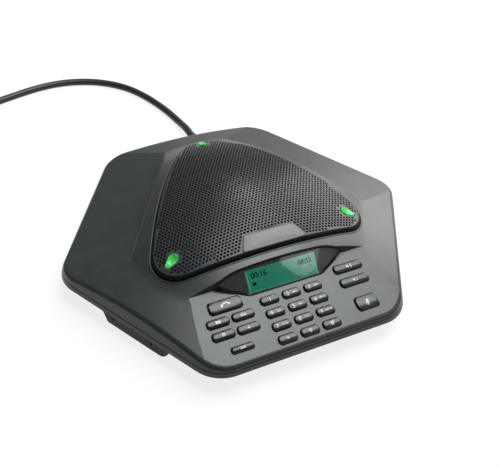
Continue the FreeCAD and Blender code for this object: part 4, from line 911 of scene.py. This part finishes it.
def dress_opening():
    """The housing's rounded lip round the grille, and a dark ring in the gap that paints the shade
    in it.
    """
    turns = [math.radians(a) for a in range(0, 181, 30)]
    lip = [(LIP_R * (1 + math.cos(a)), LIP_R * math.sin(a) - LIP_SINK) for a in turns]
    round_the_grille("opening_lip", lip, "Housing", "housing")
    low = -GAP_DEEP - GAP_SHADOW_HIGH
    seal = [(-GAP_CLEAR, low), (-GAP_CLEAR, -GAP_DEEP),
            (GAP_CLEAR - GRILLE_GAP, -GAP_DEEP), (GAP_CLEAR - GRILLE_GAP, low)]
    # A foam ring darkens the gap: painted shade.
    round_the_grille("gap_shadow_ring", seal, "Foam", "dark_plastic")


def grille_foam_and_shade(thick):
    """Points and faces of the black foam under the sheet, cut out round the lights; it also paints
    the shade seen inside the holes.
    """
    edge = grille_outline(-GRILLE_GAP - GRILLE_RIM - BACKING_IN, BACKING_EDGE_STEP)
    openings = light_openings(LIGHT_CLEAR)
    reach = int(GRILLE_POINT / BACKING_STEP) + 1
    grid = [Vector((x * BACKING_STEP, y * BACKING_STEP))
            for x in range(-reach, reach) for y in range(-reach, reach)]
    loose = [p for p in grid if inside(p, edge) and not in_any(p, openings)]
    points, faces, _ = cut_sheet(loose, [edge] + openings, lambda spot: in_any(spot, openings))
    level = GRILLE_TOP - thick - BACKING_GAP
    return thick_sheet(on_dome(points, level), on_dome(points, level - BACKING_THICK), faces)


def dress_grille():
    """The grille with its sunk faces painted dark as shade, its black foam that also paints the
    shade in the holes, its gasket, its lip, and the dark ring that paints the shade in the gap.
    """
    look = bpy.context.scene.phone_look
    thick = look.grille_thickness / MM
    plate = perforated_plate(look.hole_pitch / MM, look.hole_width / MM, thick)
    grille = piece("perforated_grille", *plate, "Grille paint", "grille", smooth=25.0)
    grille.data.materials.append(finish("Black plastic"))
    spots = [v.co / MM for v in grille.data.vertices]
    # Hole walls, rounded rim and skirt take the black finish: painted shade where shade falls in
    # them.
    painted_shade = [dome(p.x, p.y, GRILLE_TOP) - p.z > SHADE_REACH for p in spots]
    for face in grille.data.polygons:
        face.material_index = int(any(painted_shade[i] for i in face.vertices))
    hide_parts("speaker_grille")
    wear("grille_gasket", "Foam")
    # Black foam that also stands in for the shade inside the holes: partly painted shade.
    piece("grille_foam_and_shade", *grille_foam_and_shade(thick), "Foam", "dark_plastic")
    dress_opening()


def dress_plate():
    """The small blank plate on the grille."""
    made = domed_plate(badge_outline(0), GRILLE_TOP + BADGE_PROUD, GRILLE_TOP - BADGE_SINK,
                       BADGE_EDGE)
    plate = piece("blank_plate", *made, "Plate", "plate")
    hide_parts("badge_plate")


def dress_lights():
    """Three status lights: a domed guide, and its flange under the grille."""
    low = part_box("status_lights")[0].z / MM
    foot = GRILLE_TOP - LIGHT_DEEP
    for side in POD_SIDES:
        guide = teardrop(-LIGHT_GAP, side, LIGHT_STEPS)
        cap = domed_plate(guide, GRILLE_TOP + LIGHT_PROUD, foot, LIGHT_ROUND)
        stem = [at_level(guide, low), on_dome(guide, foot)]
        flange = teardrop(LIGHT_FLANGE, side, LIGHT_STEPS)
        collar = [on_dome(flange, foot), on_dome(flange, GRILLE_TOP - LIGHT_FLANGE_DEEP)]
        made = merge([cap, loft(stem), loft(collar)])
        piece("status_light_%d" % side, *made, "Light guide", "light_green")
    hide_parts("status_lights")
    wear("status_led_boards", "Light board")


# Drawings: flat points and faces in millimetres, for the print on keys and screen

def read_flat(shaped):
    """Flat points and faces of an edit mesh, which is then freed."""
    shaped.verts.index_update()
    points = [v.co.xy.copy() for v in shaped.verts]
    faces = [tuple(v.index for v in face.verts) for face in shaped.faces]
    shaped.free()
    return points, faces


def printed(text, size, weight=0.0):
    """A line of text about its middle."""
    curve = bpy.data.curves.new("text", "FONT")
    curve.body = text
    curve.size = size
    curve.offset = weight
    curve.fill_mode = "FRONT"
    curve.resolution_u = 2
    line = placed("text", curve)
    view = line.evaluated_get(bpy.context.evaluated_depsgraph_get())
    shaped = bmesh.new()
    shaped.from_mesh(view.to_mesh())
    bmesh.ops.remove_doubles(shaped, verts=shaped.verts, dist=MERGE)
    points, faces = read_flat(shaped)
    view.to_mesh_clear()
    bpy.data.objects.remove(line)
    bpy.data.curves.remove(curve)
    low = Vector((min(p.x for p in points), min(p.y for p in points)))
    high = Vector((max(p.x for p in points), max(p.y for p in points)))
    return [p - (low + high) / 2 for p in points], faces


def shifted(drawing, x, u, turn=0.0, scale=1.0):
    """A drawing scaled, turned and moved."""
    points, faces = drawing
    spin = Matrix.Rotation(math.radians(turn), 2)
    return [spin @ (p * scale) + Vector((x, u)) for p in points], faces


def band(radius, width, start, end, steps=10):
    """A flat arc of even width."""
    angles = [start + (end - start) * k / steps for k in range(steps + 1)]
    points = [polar(radius + side * width / 2, a) for side in (-1, 1) for a in angles]
    faces = [(k, k + steps + 1, k + steps + 2, k + 1) for k in range(steps)]
    return points, faces


def polygon(*corners):
    """A flat shape of one face."""
    return [Vector(corner) for corner in corners], [tuple(range(len(corners)))]


def block(x0, y0, x1, y1):
    """A rectangle from corner to corner."""
    return polygon((x0, y0), (x1, y0), (x1, y1), (x0, y1))


def disc(radius, x, y, steps=12):
    """A round dot."""
    return polygon(*[Vector((x, y)) + polar(radius, 360 * k / steps) for k in range(steps)])


def handset():
    """Earpiece and mouthpiece on a bowed handle."""
    bow = shifted(band(3.2, 1.0, 38, 142, 12), 0, -2.2)
    ends = [shifted(block(-0.9, -0.7, 0.9, 0.7), x, -0.45, -15.2 * x) for x in (-2.5, 2.5)]
    return shifted(merge([bow] + ends), 0, 0, 8)


def horn(waves):
    """A small loudspeaker with its sound waves."""
    cone = polygon((-0.9, -0.45), (0.0, -1.25), (0.0, 1.25), (-0.9, 0.45))
    rings = [shifted(band(0.8 + 0.75 * k, 0.32, -45, 45, 6), 0.1, 0)
             for k in range(1, waves + 1)]
    return merge([cone, block(-1.6, -0.45, -1.0, 0.45)] + rings)


def crossed_microphone():
    """A microphone on its foot, struck through."""
    capsule = [Vector((0, 0.2)) + polar(0.75, a) + Vector((0, 0.75 if a < 180 else -0.75))
               for a in range(0, 360, 30)]
    cradle = band(1.35, 0.32, 190, 350, 8)
    stroke = shifted(block(-2.6, -0.2, 2.6, 0.2), 0, -0.1, 48)
    return merge([polygon(*capsule), cradle, stroke, block(-0.16, -2.3, 0.16, -1.3),
                  block(-0.9, -2.6, 0.9, -2.25)])


def open_book():
    """Two pages."""
    return merge([block(-1.9, -1.1, -0.15, 1.1), block(0.15, -1.1, 1.9, 1.1)])


def three_heads():
    """Three small figures side by side."""
    heads = [disc(0.5, x, 0.5) for x in (-1.5, 0.0, 1.5)]
    chests = [shifted(band(0.45, 0.75, 0, 180, 6), x, -0.95) for x in (-1.5, 0.0, 1.5)]
    return merge(heads + chests)


def bolt():
    """A zigzag stroke."""
    return merge([polygon((0.5, 1.5), (-1.1, -0.25), (0.1, -0.25)),
                  polygon((-0.5, -1.5), (1.1, 0.2), (-0.1, 0.2))])


def gear():
    """A toothed wheel."""
    teeth = [shifted(block(0.85, -0.28, 1.5, 0.28), 0, 0, 60 * k) for k in range(6)]
    return merge([band(0.8, 0.5, 0, 360, 18)] + teeth)


def list_lines():
    """Three lines of a list."""
    return merge([block(-2.2, u - 0.17, 2.2, u + 0.17) for u in (-0.75, 0.0, 0.75)])


def sliced(drawing):
    """A drawing cut across at even heights, so that it can bend with a key's top."""
    points, faces = drawing
    cut = bmesh.new()
    corners = [cut.verts.new((p.x, p.y, 0)) for p in points]
    for face in faces:
        cut.faces.new([corners[i] for i in face])
    most = int(max(p.y for p in points) / PRINT_STEP)
    for k in range(-most, most + 1):
        bmesh.ops.bisect_plane(cut, geom=cut.verts[:] + cut.edges[:] + cut.faces[:],
                               dist=CUT_NEAR, plane_co=(0, k * PRINT_STEP, 0),
                               plane_no=(0, 1, 0))
    return read_flat(cut)


def layer(drawing, place):
    """Print as thin as paint; place sets a point of the drawing at a height."""
    points, faces = drawing
    top, low = ([place(p, up) for p in points] for up in (LEGEND_THICK, 0.0))
    return thick_sheet(top, low, faces)


# The keys

def key_top(u, middle, height):
    """Level of a key's bowed top above the panel."""
    return KEY_PROUD - KEY_SAG * ((u - middle) / (height / 2)) ** 2


def key_cap(x, u, width, height):
    """A cap with a rounded edge and a bowed top, its flange under the wall, and its post."""
    def flat(outline, w):
        return [on_panel(x + a, u + b, w) for a, b in outline]

    def bowed(outline, drop=0.0):
        return [on_panel(x + a, u + b, key_top(u + b, u, height) - drop) for a, b in outline]

    wall = rounded_box(width, height, min(KEY_CORNER * height, KEY_CORNER_MOST))
    flange = rounded_box(width + 2 * KEY_FLANGE, height + 2 * KEY_FLANGE, FLANGE_CORNER, 2)
    foot = rounded_box(2 * POST_HALF, 2 * POST_HALF, POST_CORNER, 2)
    inner = inset(wall, KEY_EDGE)
    rings = [flat(wall, FLANGE_UP - CAP_LAP)]
    rings += [bowed(inset(wall, across), drop)
              for across, drop in rounding(KEY_EDGE, range(0, 91, 18))]
    for share in (0.8, 0.6, 0.4, 0.2, 0.04):
        across = KEY_TOP_WIDTH + (1 - KEY_TOP_WIDTH) * share
        rings.append(bowed([(p.x * across, p.y * share) for p in inner]))
    base = [flat(flange, w) for w in (FLANGE_LOW, FLANGE_UP)]
    post = [flat(foot, w) for w in (POST_LOW, FLANGE_LOW + POST_LAP)]
    return merge([loft(base), loft(rings), loft(post)])


def legend(name, drawing, x, u, height, body):
    """White print that follows a key's top."""
    def place(p, up):
        return on_panel(x + p.x, u + p.y, key_top(u + p.y, u, height) + LEGEND_LIFT + up)
    piece(name, *layer(sliced(drawing), place), "Legend ink", "key_plastic", body, 40.0)


def digit_print(digit, letters):
    """A digit or sign alone, or a digit left of the middle and its letters on the right."""
    high = DIGIT_HIGH if digit.isdigit() else SIGN_HIGH
    alone = printed(digit, high, DIGIT_WEIGHT)
    if not letters:
        return alone
    return merge([shifted(alone, DIGIT_AT, 0),
                  shifted(printed(letters, LETTERS_HIGH, LETTERS_WEIGHT), LETTERS_AT, 0)])


def dress_keys():
    """The caps with their print, and the mat under them."""
    prints = {
        "call": shifted(handset(), 0, 0.3, 0, ICON_SCALE), "directory": open_book(),
        "conference": three_heads(), "flash": bolt(), "program": gear(), "menu": list_lines(),
        "volume_up": shifted(horn(2), 0, 0, 0, ICON_SCALE),
        "volume_down": shifted(horn(1), 0, 0, 0, ICON_SCALE),
        "mute": shifted(crossed_microphone(), 0, 0, 0, ICON_SCALE),
    }
    keys = [(name, digit_print(digit, letters), (i % 3 - 1) * KEY_PITCH_X,
             KEY_TOP_ROW - i // 3 * KEY_PITCH_U) + DIGIT_SIZE
            for i, (name, digit, letters) in enumerate(DIGITS)]
    keys += [(name, prints[name], *size) for name, *size in OTHER_KEYS]
    for name, drawing, x, u, width, height in keys:
        node = name + "_key"
        cap = piece(name + "_cap", *key_cap(x, u, width, height), "Key plastic", "key_plastic",
                    node, 50.0)
        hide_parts(node)
        legend(name + "_print", drawing, x, u, height, node)
    wear("keypad_mat", "Rubber")


# The display

def arc(start, through, end, steps):
    """Flat points of an arc from its start up to, but not including, its end."""
    a = through - start
    b = end - start
    twice = 2 * (a.x * b.y - a.y * b.x)
    away = Vector((b.y * a.dot(a) - a.y * b.dot(b), a.x * b.dot(b) - b.x * a.dot(a))) / twice
    centre = start + away
    first = math.atan2(-away.y, -away.x)
    turn = (math.atan2((end - centre).y, (end - centre).x) - first) % (2 * math.pi)
    if twice < 0:
        turn -= 2 * math.pi
    return swing(centre, away.length, first, turn, steps)


def eye_outline():
    """The display window's outline, flat: straight below, two tips, and bowed above."""
    mirror = Vector((-1, 1))
    tip = Vector((EYE_HALF, EYE_TIP))
    rise = Vector((EYE_HALF - EYE_RISE[0], EYE_TIP - EYE_RISE[1]))
    run = math.sqrt(EYE_TOP_R ** 2 - EYE_SHOULDER ** 2)
    shoulder = Vector((EYE_SHOULDER, EYE_TOP - EYE_TOP_R + run))
    normal = Vector((-EYE_SHOULDER, -run)).normalized()
    chord = tip - shoulder
    end_r = chord.length_squared / (2 * chord.dot(normal))
    centre = shoulder + normal * end_r
    middle = centre + ((shoulder - centre) + (tip - centre)).normalized() * end_r
    right = arc(Vector((EYE_FLAT, 0)), Vector(EYE_BEND), rise, 6) + [rise]
    right += arc(tip, middle, shoulder, 8)
    right += arc(shoulder, Vector((0, EYE_TOP)), shoulder * mirror, 16)[:9]
    left = [p * mirror for p in right[:-1]]
    return right + left[::-1]


def window_shadow_ring():
    """Painted shadow: a black bead round the window, thin along its straight lower edge, for the
    shade at the window's edge.
    """
    outline = eye_outline()
    edge = inset(outline, SHADOW_RING_IN)
    inner = [thin if abs(p.x) <= EYE_FLAT and p.y < SHADOW_RING_THIN_UP else broad
             for p, broad, thin in zip(outline, inset(outline, SHADOW_RING_WIDE),
                                       inset(outline, SHADOW_RING_THIN))]
    section = ((edge, -SHADOW_RING_DEEP), (edge, SHADOW_RING_PROUD), (inner, SHADOW_RING_PROUD), (inner, -SHADOW_RING_LAP))
    rings = [[on_lens(p.x, p.y, math.sqrt(LENS_R ** 2 - p.x ** 2) - LENS_R + w) for p in line]
             for line, w in section]
    return loft(rings, hoop=True)


def screen_print(name, drawing, x, u, ink="Screen ink"):
    """Figures just above the liquid crystal."""
    def place(p, up):
        return on_lens(x + p.x, u + p.y, GLASS_UP + LEGEND_LIFT + up)
    piece(name, *layer(drawing, place), ink, "lcd")


def dress_display():
    """The window with its painted shadow bead, the mask, and the lit screen with its figures."""
    wear("display_lens", "Lens", 20.0)
    wear("display_frame", "Display mask", 20.0)
    wear("display_glass", "Screen")
    wear("display_backlight", "Backlight")
    wear("display_cable", "Film")
    left = -GLASS_SIZE[0] / 2
    low = GLASS_LOW + MARGIN_EDGE
    top = GLASS_LOW + GLASS_SIZE[1]
    edge = -left - MARGIN_EDGE
    screen_print("screen_timer", printed("00:16", 6.0, 0.13), left + 10.5, top - 4.6)
    screen_print("screen_clock", printed("08:52", 5.4, 0.15), -left - 9.6, top - 5.0)
    screen_print("screen_line", block(-1.5, -1.2, 1.5, 1.2), left + 5.6, top - 11.0)
    screen_print("screen_day", printed("12", 2.8, 0.12), -left - 5.0, top - 10.2)
    margins = (block(left + MARGIN_EDGE, low, left + MARGIN_LEFT, top - MARGIN_EDGE),
               block(left + MARGIN_LEFT, low, edge, GLASS_LOW + MARGIN_LOW),
               block(-left - MARGIN_RIGHT, GLASS_LOW + MARGIN_LOW, edge, top - MARGIN_EDGE))
    screen_print("screen_margin", merge(margins), 0, 0, "Screen margin")
    # A black bead stands in for the shadow round the window's edge: painted shadow.
    piece("window_shadow_ring", *window_shadow_ring(), "Black plastic", "dark_plastic")


# The housing and what is under it

def rounded_hexagon(inward, steps=8):
    """The housing's outline, moved in from its edge."""
    reach = (APOTHEM - CORNER_R) / math.cos(math.radians(30))
    return [point for corner in range(0, 360, 60)
            for point in fan(polar(reach, corner), CORNER_R - inward, corner - 30, 60, steps)]


def painted_shadow_line():
    """Painted shadow: a thin dark strip round the wall, just under its rounded edge, for the shade
    of a gap between the covers.
    """
    section = ((SHADOW_LINE_LOW, 0), (SHADOW_LINE_TOP, 0), (SHADOW_LINE_TOP, SHADOW_LINE_DEEP), (SHADOW_LINE_LOW, SHADOW_LINE_DEEP))
    rings = [at_level(rounded_hexagon(DRAFT * (z - PARTING) - SHADOW_LINE_PROUD + deep), z)
             for z, deep in section]
    return loft(rings, hoop=True)


def dress_housing():
    """The two covers with the painted shadow line round them, the feet, the microphones and the
    screws.
    """
    wear("top_cover", "Housing", 18.0)
    # The lower cover's darker colour paints the shade under the upper cover.
    wear("bottom_cover", "Shaded lower housing", 18.0)
    # A dark strip stands in for the shade of the gap between the covers: painted shadow.
    piece("painted_shadow_line", *painted_shadow_line(), "Black plastic", "dark_plastic")
    wear("rubber_feet", "Rubber", 30.0)
    wear("microphone_boots", "Rubber", 30.0)
    wear("microphones", "Zinc", 30.0)
    wear("housing_screws", "Screw steel", 30.0)


def dress_insides():
    """The loudspeaker's parts and the boards."""
    finishes = {
        "speaker_basket": "Black steel", "speaker_magnet": "Ferrite",
        "speaker_front_plate": "Zinc", "speaker_yoke": "Zinc", "speaker_cone": "Paper pulp",
        "voice_coil": "Copper", "dust_cap": "Paper pulp", "speaker_surround": "Foam",
        "speaker_spider": "Spider cloth", "speaker_screws": "Black steel",
        "keypad_board": "Board", "keypad_screws": "Screw steel", "main_board": "Board",
        "main_board_screws": "Screw steel", "board_components": "Chip plastic",
        "line_transformer": "Ferrite",
    }
    for name, finish_name in finishes.items():
        wear(name, finish_name, 30.0)


# The cable

def cable_line():
    """Control points of the cable's line: the route as laid, the coil's turns, and the tail."""
    points = [Vector(CABLE_EXIT)] + [Vector(p) for p in CABLE_ROUTE]
    heading = (points[-1] - points[-2]) * Vector((1, 1, 0))
    heading.normalize()
    left = Vector((-heading.y, heading.x, 0))
    start = points[-1] + heading * CABLE_WIDE
    centre = start + left * COIL_R
    first = math.atan2((start - centre).y, (start - centre).x)
    half = COIL_TURNS * COIL_STEPS
    # A spline runs inside its control points, so those of the coil lie further out
    spread = 1 / (0.75 + 0.25 * math.cos(2 * math.pi / COIL_STEPS))
    for i in range(2 * half + 1):
        inward = min(i, 2 * half - i) / COIL_STEPS
        radius = (COIL_R - COIL_PITCH * inward) * spread
        angle = first + 2 * math.pi * i / COIL_STEPS
        # It climbs onto its second layer within half a turn, at the middle of its length
        climb = min(max((4 * i / COIL_STEPS - (4 * COIL_TURNS - 1)) / 2, 0), 1)
        out = Vector((math.cos(angle), math.sin(angle), 0))
        level = Vector((0, 0, start.z + COIL_PITCH * climb))
        points.append(centre * Vector((1, 1, 0)) + out * radius + level)
    way = Vector((-math.sin(first), math.cos(first), 0))
    leave = start + way * COIL_CLEAR + Vector((0, 0, COIL_PITCH))
    landing = leave + way * COIL_TAIL
    landing.z = COIL_END_Z
    slope = way * (COIL_TAIL / 3)
    points += [start + way * share + Vector((0, 0, COIL_PITCH)) for share in COIL_LEAVE]
    points += [leave + slope * TAIL_EASE, landing - slope * TAIL_EASE, landing,
               landing + way * CABLE_WIDE]
    return points


def dress_cable():
    """The cable along its line, its sleeve, its tie and its plug."""
    points = cable_line()
    curve = bpy.data.curves.new("line_cable", "CURVE")
    curve.dimensions = "3D"
    spline = curve.splines.new("NURBS")
    spline.points.add(len(points) - 1)
    for control, point in zip(spline.points, points):
        control.co = (*(point * MM), 1.0)
    spline.order_u = 3
    spline.use_endpoint_u = True
    spline.resolution_u = 6
    curve.bevel_depth = CABLE_WIDE / 2 * MM
    curve.bevel_resolution = 4
    curve.use_fill_caps = True
    curve.materials.append(finish("Cable jacket"))
    cable = placed("line_cable", curve)
    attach(cable, "housing")
    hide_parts("cable", "cable_coil")
    wear("cable_strain_relief", "Rubber", 30.0)
    wear("cable_plug", "Clear plug", 30.0)
    wear("coil_tie", "Tie cloth")


# The stage

def aim(made, place, target, roll=0.0):
    """Put a lamp or the camera at a place, looking at a target."""
    look = (Vector(place) - Vector(target)).to_track_quat("Z", "Y").to_matrix().to_4x4()
    made.matrix_world = Matrix.Translation(place) @ look @ Matrix.Rotation(roll, 4, "Z")


def softbox(name, radiance, target=MIDDLE):
    """A flat lamp of even brightness that faces the phone."""
    shape, way, distance, size, tone = LAMPS[name]
    lamp = bpy.data.lights.new(name, "AREA")
    lamp.shape = shape
    lamp.size = size
    lamp.energy = radiance * size * size * LAMP_AREA[shape]
    lamp.color = tone
    made = placed(name, lamp)
    aim(made, Vector(target) + Vector(way).normalized() * distance, target)


def table_top():
    """A white table that shows white to the camera and keeps a faint shadow."""
    room = bpy.context.scene.phone_stage
    mesh = bpy.data.meshes.new("table")
    corners = [(a * TABLE_HALF, b * TABLE_HALF, 0) for a, b in ((-1, -1), (1, -1), (1, 1), (-1, 1))]
    mesh.from_pydata(corners, [], [(0, 1, 2, 3)])
    table = placed("table", mesh)
    material = bpy.data.materials.new("Table")
    material.use_nodes = True
    tree = material.node_tree
    tree.nodes.remove(tree.nodes["Principled BSDF"])
    path = add(tree, "ShaderNodeLightPath").outputs
    seen = maths(tree, "MAXIMUM", path["Is Camera Ray"], path["Is Glossy Ray"])
    seen = maths(tree, "MAXIMUM", seen, path["Is Transmission Ray"])
    share = maths(tree, "MULTIPLY", seen, room.table_white)
    tone = ranged(tree, seen, (0.0, 1.0), (room.table_bounce, TABLE_SHOWN))
    matt = add(tree, "ShaderNodeBsdfDiffuse", {"Color": tone}).outputs[0]
    white = add(tree, "ShaderNodeEmission", {"Color": WHITE, "Strength": 1.0}).outputs[0]
    both = add(tree, "ShaderNodeMixShader", {0: share, 1: matt, 2: white}).outputs[0]
    link(tree, tree.nodes["Material Output"], {"Surface": both})
    mesh.materials.append(material)


def sky():
    """A dim room, paler on the right, that shows as plain white itself."""
    room = bpy.context.scene.phone_stage
    world = bpy.data.worlds.new("Room")
    world.use_nodes = True
    tree = world.node_tree
    way = add(tree, "ShaderNodeTexCoord").outputs["Generated"]
    along = add(tree, "ShaderNodeVectorMath", {0: way, 1: Vector(ROOM_WAY).normalized()},
                operation="DOT_PRODUCT").outputs["Value"]
    level = ranged(tree, along, (0.0, 1.0), (room.room_dark, room.room_pale),
                   interpolation_type="SMOOTHSTEP")
    dim = tree.nodes["Background"]
    dim.inputs["Color"].default_value = (*room.room_tone, 1.0)
    link(tree, dim, {"Strength": level})
    seen = add(tree, "ShaderNodeLightPath").outputs["Is Camera Ray"]
    white = add(tree, "ShaderNodeBackground", {"Color": WHITE, "Strength": 1.0}).outputs[0]
    both = add(tree, "ShaderNodeMixShader", {0: seen, 1: dim.outputs[0], 2: white}).outputs[0]
    link(tree, tree.nodes["World Output"], {"Surface": both})
    bpy.context.scene.world = world


def photo_camera():
    """A camera where the photograph's stood."""
    level = math.cos(CAMERA_ABOVE)
    way = Vector((math.sin(CAMERA_AROUND) * level, -math.cos(CAMERA_AROUND) * level,
                  math.sin(CAMERA_ABOVE)))
    camera = bpy.data.cameras.new("photo_camera")
    camera.lens = CAMERA_LENS
    camera.sensor_width = CAMERA_SENSOR
    made = placed("photo_camera", camera)
    target = mm(*CAMERA_TARGET)
    aim(made, target + way * CAMERA_FAR * MM, target, CAMERA_ROLL)
    bpy.context.scene.camera = made


def set_stage():
    """The camera, the table, the room and the lamps."""
    room = bpy.context.scene.phone_stage
    bpy.context.scene.view_settings.view_transform = "Standard"
    photo_camera()
    table_top()
    sky()
    softbox("overhead", room.overhead_level)
    softbox("window", room.window_level)
    softbox("back_lamp", room.back_level)
    softbox("front_lamp", room.front_level, on_lens(0, 10))


# The add-on: what like values in the panel share, the values, and the steps

TINT = dict(subtype="COLOR", size=3, min=0, max=1)
LAMP = dict(min=0, max=50)
SHARE = dict(min=0, max=1)
LEVEL = dict(min=0, max=10)


class PhoneLook(bpy.types.PropertyGroup):
    """Sizes and colours of the phone"""
    hole_pitch: FloatProperty(
        name="Hole Pitch", description="Between the middles of two holes of the grille",
        default=2.9 * MM, min=2.0 * MM, max=6.0 * MM, unit="LENGTH")
    hole_width: FloatProperty(
        name="Hole Width", description="Width of a hole of the grille",
        default=2.3 * MM, min=0.8 * MM, max=4.0 * MM, unit="LENGTH")
    grille_thickness: FloatProperty(
        name="Grille Thickness", description="Thickness of the grille's sheet",
        default=0.9 * MM, min=0.5 * MM, max=1.6 * MM, unit="LENGTH")
    housing_colour: FloatVectorProperty(
        name="Housing", description="Colour of the upper cover",
        default=colour(48, 51, 51), **TINT)
    # Darker than the housing: painted shade under the upper cover.
    lower_shaded_colour: FloatVectorProperty(
        name="Lower Cover", description="Colour of the lower cover",
        default=colour(34, 36, 36), **TINT)
    housing_roughness: FloatProperty(
        name="Housing Roughness", description="How matt the upper cover is",
        default=0.33, **SHARE)
    grille_colour: FloatVectorProperty(
        name="Grille", description="Colour of the grille",
        default=colour(50, 53, 55), **TINT)
    plate_colour: FloatVectorProperty(
        name="Blank Plate", description="Colour of the plate on the grille",
        default=colour(84, 84, 86), **TINT)
    key_colour: FloatVectorProperty(
        name="Keys", description="Colour of the keys",
        default=colour(26, 25, 28), **TINT)
    legend_colour: FloatVectorProperty(
        name="Key Print", description="Colour of the print on the keys",
        default=colour(205, 200, 203), **TINT)
    mask_colour: FloatVectorProperty(
        name="Display Mask", description="Colour behind the clear display window",
        default=colour(104, 98, 95), **TINT)
    screen_colour: FloatVectorProperty(
        name="Screen", description="Colour of the lit screen",
        default=colour(6, 134, 106), **TINT)
    screen_glow: FloatProperty(
        name="Screen Glow", description="Strength of the screen's own light",
        default=0.5, **LEVEL)
    light_colour: FloatVectorProperty(
        name="Status Lights", description="Colour of the lit guides",
        default=colour(40, 200, 80), **TINT)
    light_glow: FloatProperty(
        name="Light Glow", description="Strength of the status lights",
        default=0.5, **LEVEL)
    cable_colour: FloatVectorProperty(
        name="Cable", description="Colour of the cable",
        default=colour(34, 34, 36), **TINT)


class PhoneStage(bpy.types.PropertyGroup):
    """Light around the phone"""
    overhead_level: FloatProperty(
        name="Overhead", description="Brightness of the lamp above", default=7.0, **LAMP)
    window_level: FloatProperty(
        name="Window", description="Brightness of the lamp behind on the right",
        default=5.0, **LAMP)
    back_level: FloatProperty(
        name="Back Lamp", description="Brightness of the small lamp above at the back",
        default=11.0, **LAMP)
    front_level: FloatProperty(
        name="Front Lamp", description="Brightness of the small lamp in front",
        default=1.1, **LAMP)
    room_dark: FloatProperty(
        name="Room Dark Side", description="Brightness of the room on the left",
        default=0.06, **LEVEL)
    room_pale: FloatProperty(
        name="Room Pale Side", description="Brightness of the room on the right",
        default=0.5, **LEVEL)
    room_tone: FloatVectorProperty(
        name="Room Colour", description="Colour of the room", default=(1.0, 1.0, 1.0), **TINT)
    table_white: FloatProperty(
        name="Table White", description="How much of the table shows as plain white",
        default=0.82, **SHARE)
    table_bounce: FloatProperty(
        name="Table Bounce", description="How much light the table throws back up",
        default=0.2, **SHARE)


class PHONE_OT_stage(bpy.types.Operator):
    """Set the table, the lamps and the camera"""
    bl_idname = "phone.stage"
    bl_label = "Stage"
    bl_options = {"REGISTER", "UNDO"}

    def execute(self, context):
        set_stage()
        return {"FINISHED"}


class PHONE_OT_housing(bpy.types.Operator):
    """Finish the two covers, the feet, the microphones and the screws"""
    bl_idname = "phone.housing"
    bl_label = "Housing"
    bl_options = {"REGISTER", "UNDO"}

    def execute(self, context):
        dress_housing()
        return {"FINISHED"}


class PHONE_OT_grille(bpy.types.Operator):
    """Make the perforated grille with its foam, gasket, lip, and its painted shade in the holes, on
    its sunk faces and in the gap
    """
    bl_idname = "phone.grille"
    bl_label = "Grille"
    bl_options = {"REGISTER", "UNDO"}

    def execute(self, context):
        dress_grille()
        return {"FINISHED"}


class PHONE_OT_plate(bpy.types.Operator):
    """Make the blank plate on the grille"""
    bl_idname = "phone.plate"
    bl_label = "Blank Plate"
    bl_options = {"REGISTER", "UNDO"}

    def execute(self, context):
        dress_plate()
        return {"FINISHED"}


class PHONE_OT_lights(bpy.types.Operator):
    """Make the three status lights"""
    bl_idname = "phone.lights"
    bl_label = "Status Lights"
    bl_options = {"REGISTER", "UNDO"}

    def execute(self, context):
        dress_lights()
        return {"FINISHED"}


class PHONE_OT_keys(bpy.types.Operator):
    """Make the keys with their print"""
    bl_idname = "phone.keys"
    bl_label = "Keys"
    bl_options = {"REGISTER", "UNDO"}

    def execute(self, context):
        dress_keys()
        return {"FINISHED"}


class PHONE_OT_display(bpy.types.Operator):
    """Finish the display and write its figures"""
    bl_idname = "phone.display"
    bl_label = "Display"
    bl_options = {"REGISTER", "UNDO"}

    def execute(self, context):
        dress_display()
        return {"FINISHED"}


class PHONE_OT_insides(bpy.types.Operator):
    """Finish the loudspeaker and the boards"""
    bl_idname = "phone.insides"
    bl_label = "Insides"
    bl_options = {"REGISTER", "UNDO"}

    def execute(self, context):
        dress_insides()
        return {"FINISHED"}


class PHONE_OT_cable(bpy.types.Operator):
    """Lay the cable with its coil"""
    bl_idname = "phone.cable"
    bl_label = "Cable"
    bl_options = {"REGISTER", "UNDO"}

    def execute(self, context):
        dress_cable()
        return {"FINISHED"}


STEPS = (PHONE_OT_stage, PHONE_OT_housing, PHONE_OT_grille, PHONE_OT_plate, PHONE_OT_lights,
         PHONE_OT_keys, PHONE_OT_display, PHONE_OT_insides, PHONE_OT_cable)


class PHONE_PT_panel(bpy.types.Panel):
    """Conference phone"""
    bl_label = "Conference Phone"
    bl_idname = "PHONE_PT_panel"
    bl_space_type = "VIEW_3D"
    bl_region_type = "UI"
    bl_category = "Conference Phone"

    def draw(self, context):
        for group in (context.scene.phone_look, context.scene.phone_stage):
            box = self.layout.box()
            for name in group.__annotations__:
                box.prop(group, name)
        for step in STEPS:
            self.layout.operator(step.bl_idname)


CLASSES = (PhoneLook, PhoneStage) + STEPS + (PHONE_PT_panel,)


def register():
    for kind in CLASSES:
        bpy.utils.register_class(kind)
    bpy.types.Scene.phone_look = PointerProperty(type=PhoneLook)
    bpy.types.Scene.phone_stage = PointerProperty(type=PhoneStage)


def unregister():
    del bpy.types.Scene.phone_stage
    del bpy.types.Scene.phone_look
    for kind in reversed(CLASSES):
        bpy.utils.unregister_class(kind)


def main():
    """Build the phone step by step."""
    register()
    for make_group in (moulded_grain, settled_dust, brushed_grain, crossed_threads,
                       board_tracks, screen_dots):
        make_group()
    for step in STEPS:
        getattr(bpy.ops.phone, step.bl_idname.split(".")[1])()


if __name__ == "__main__":
    main()
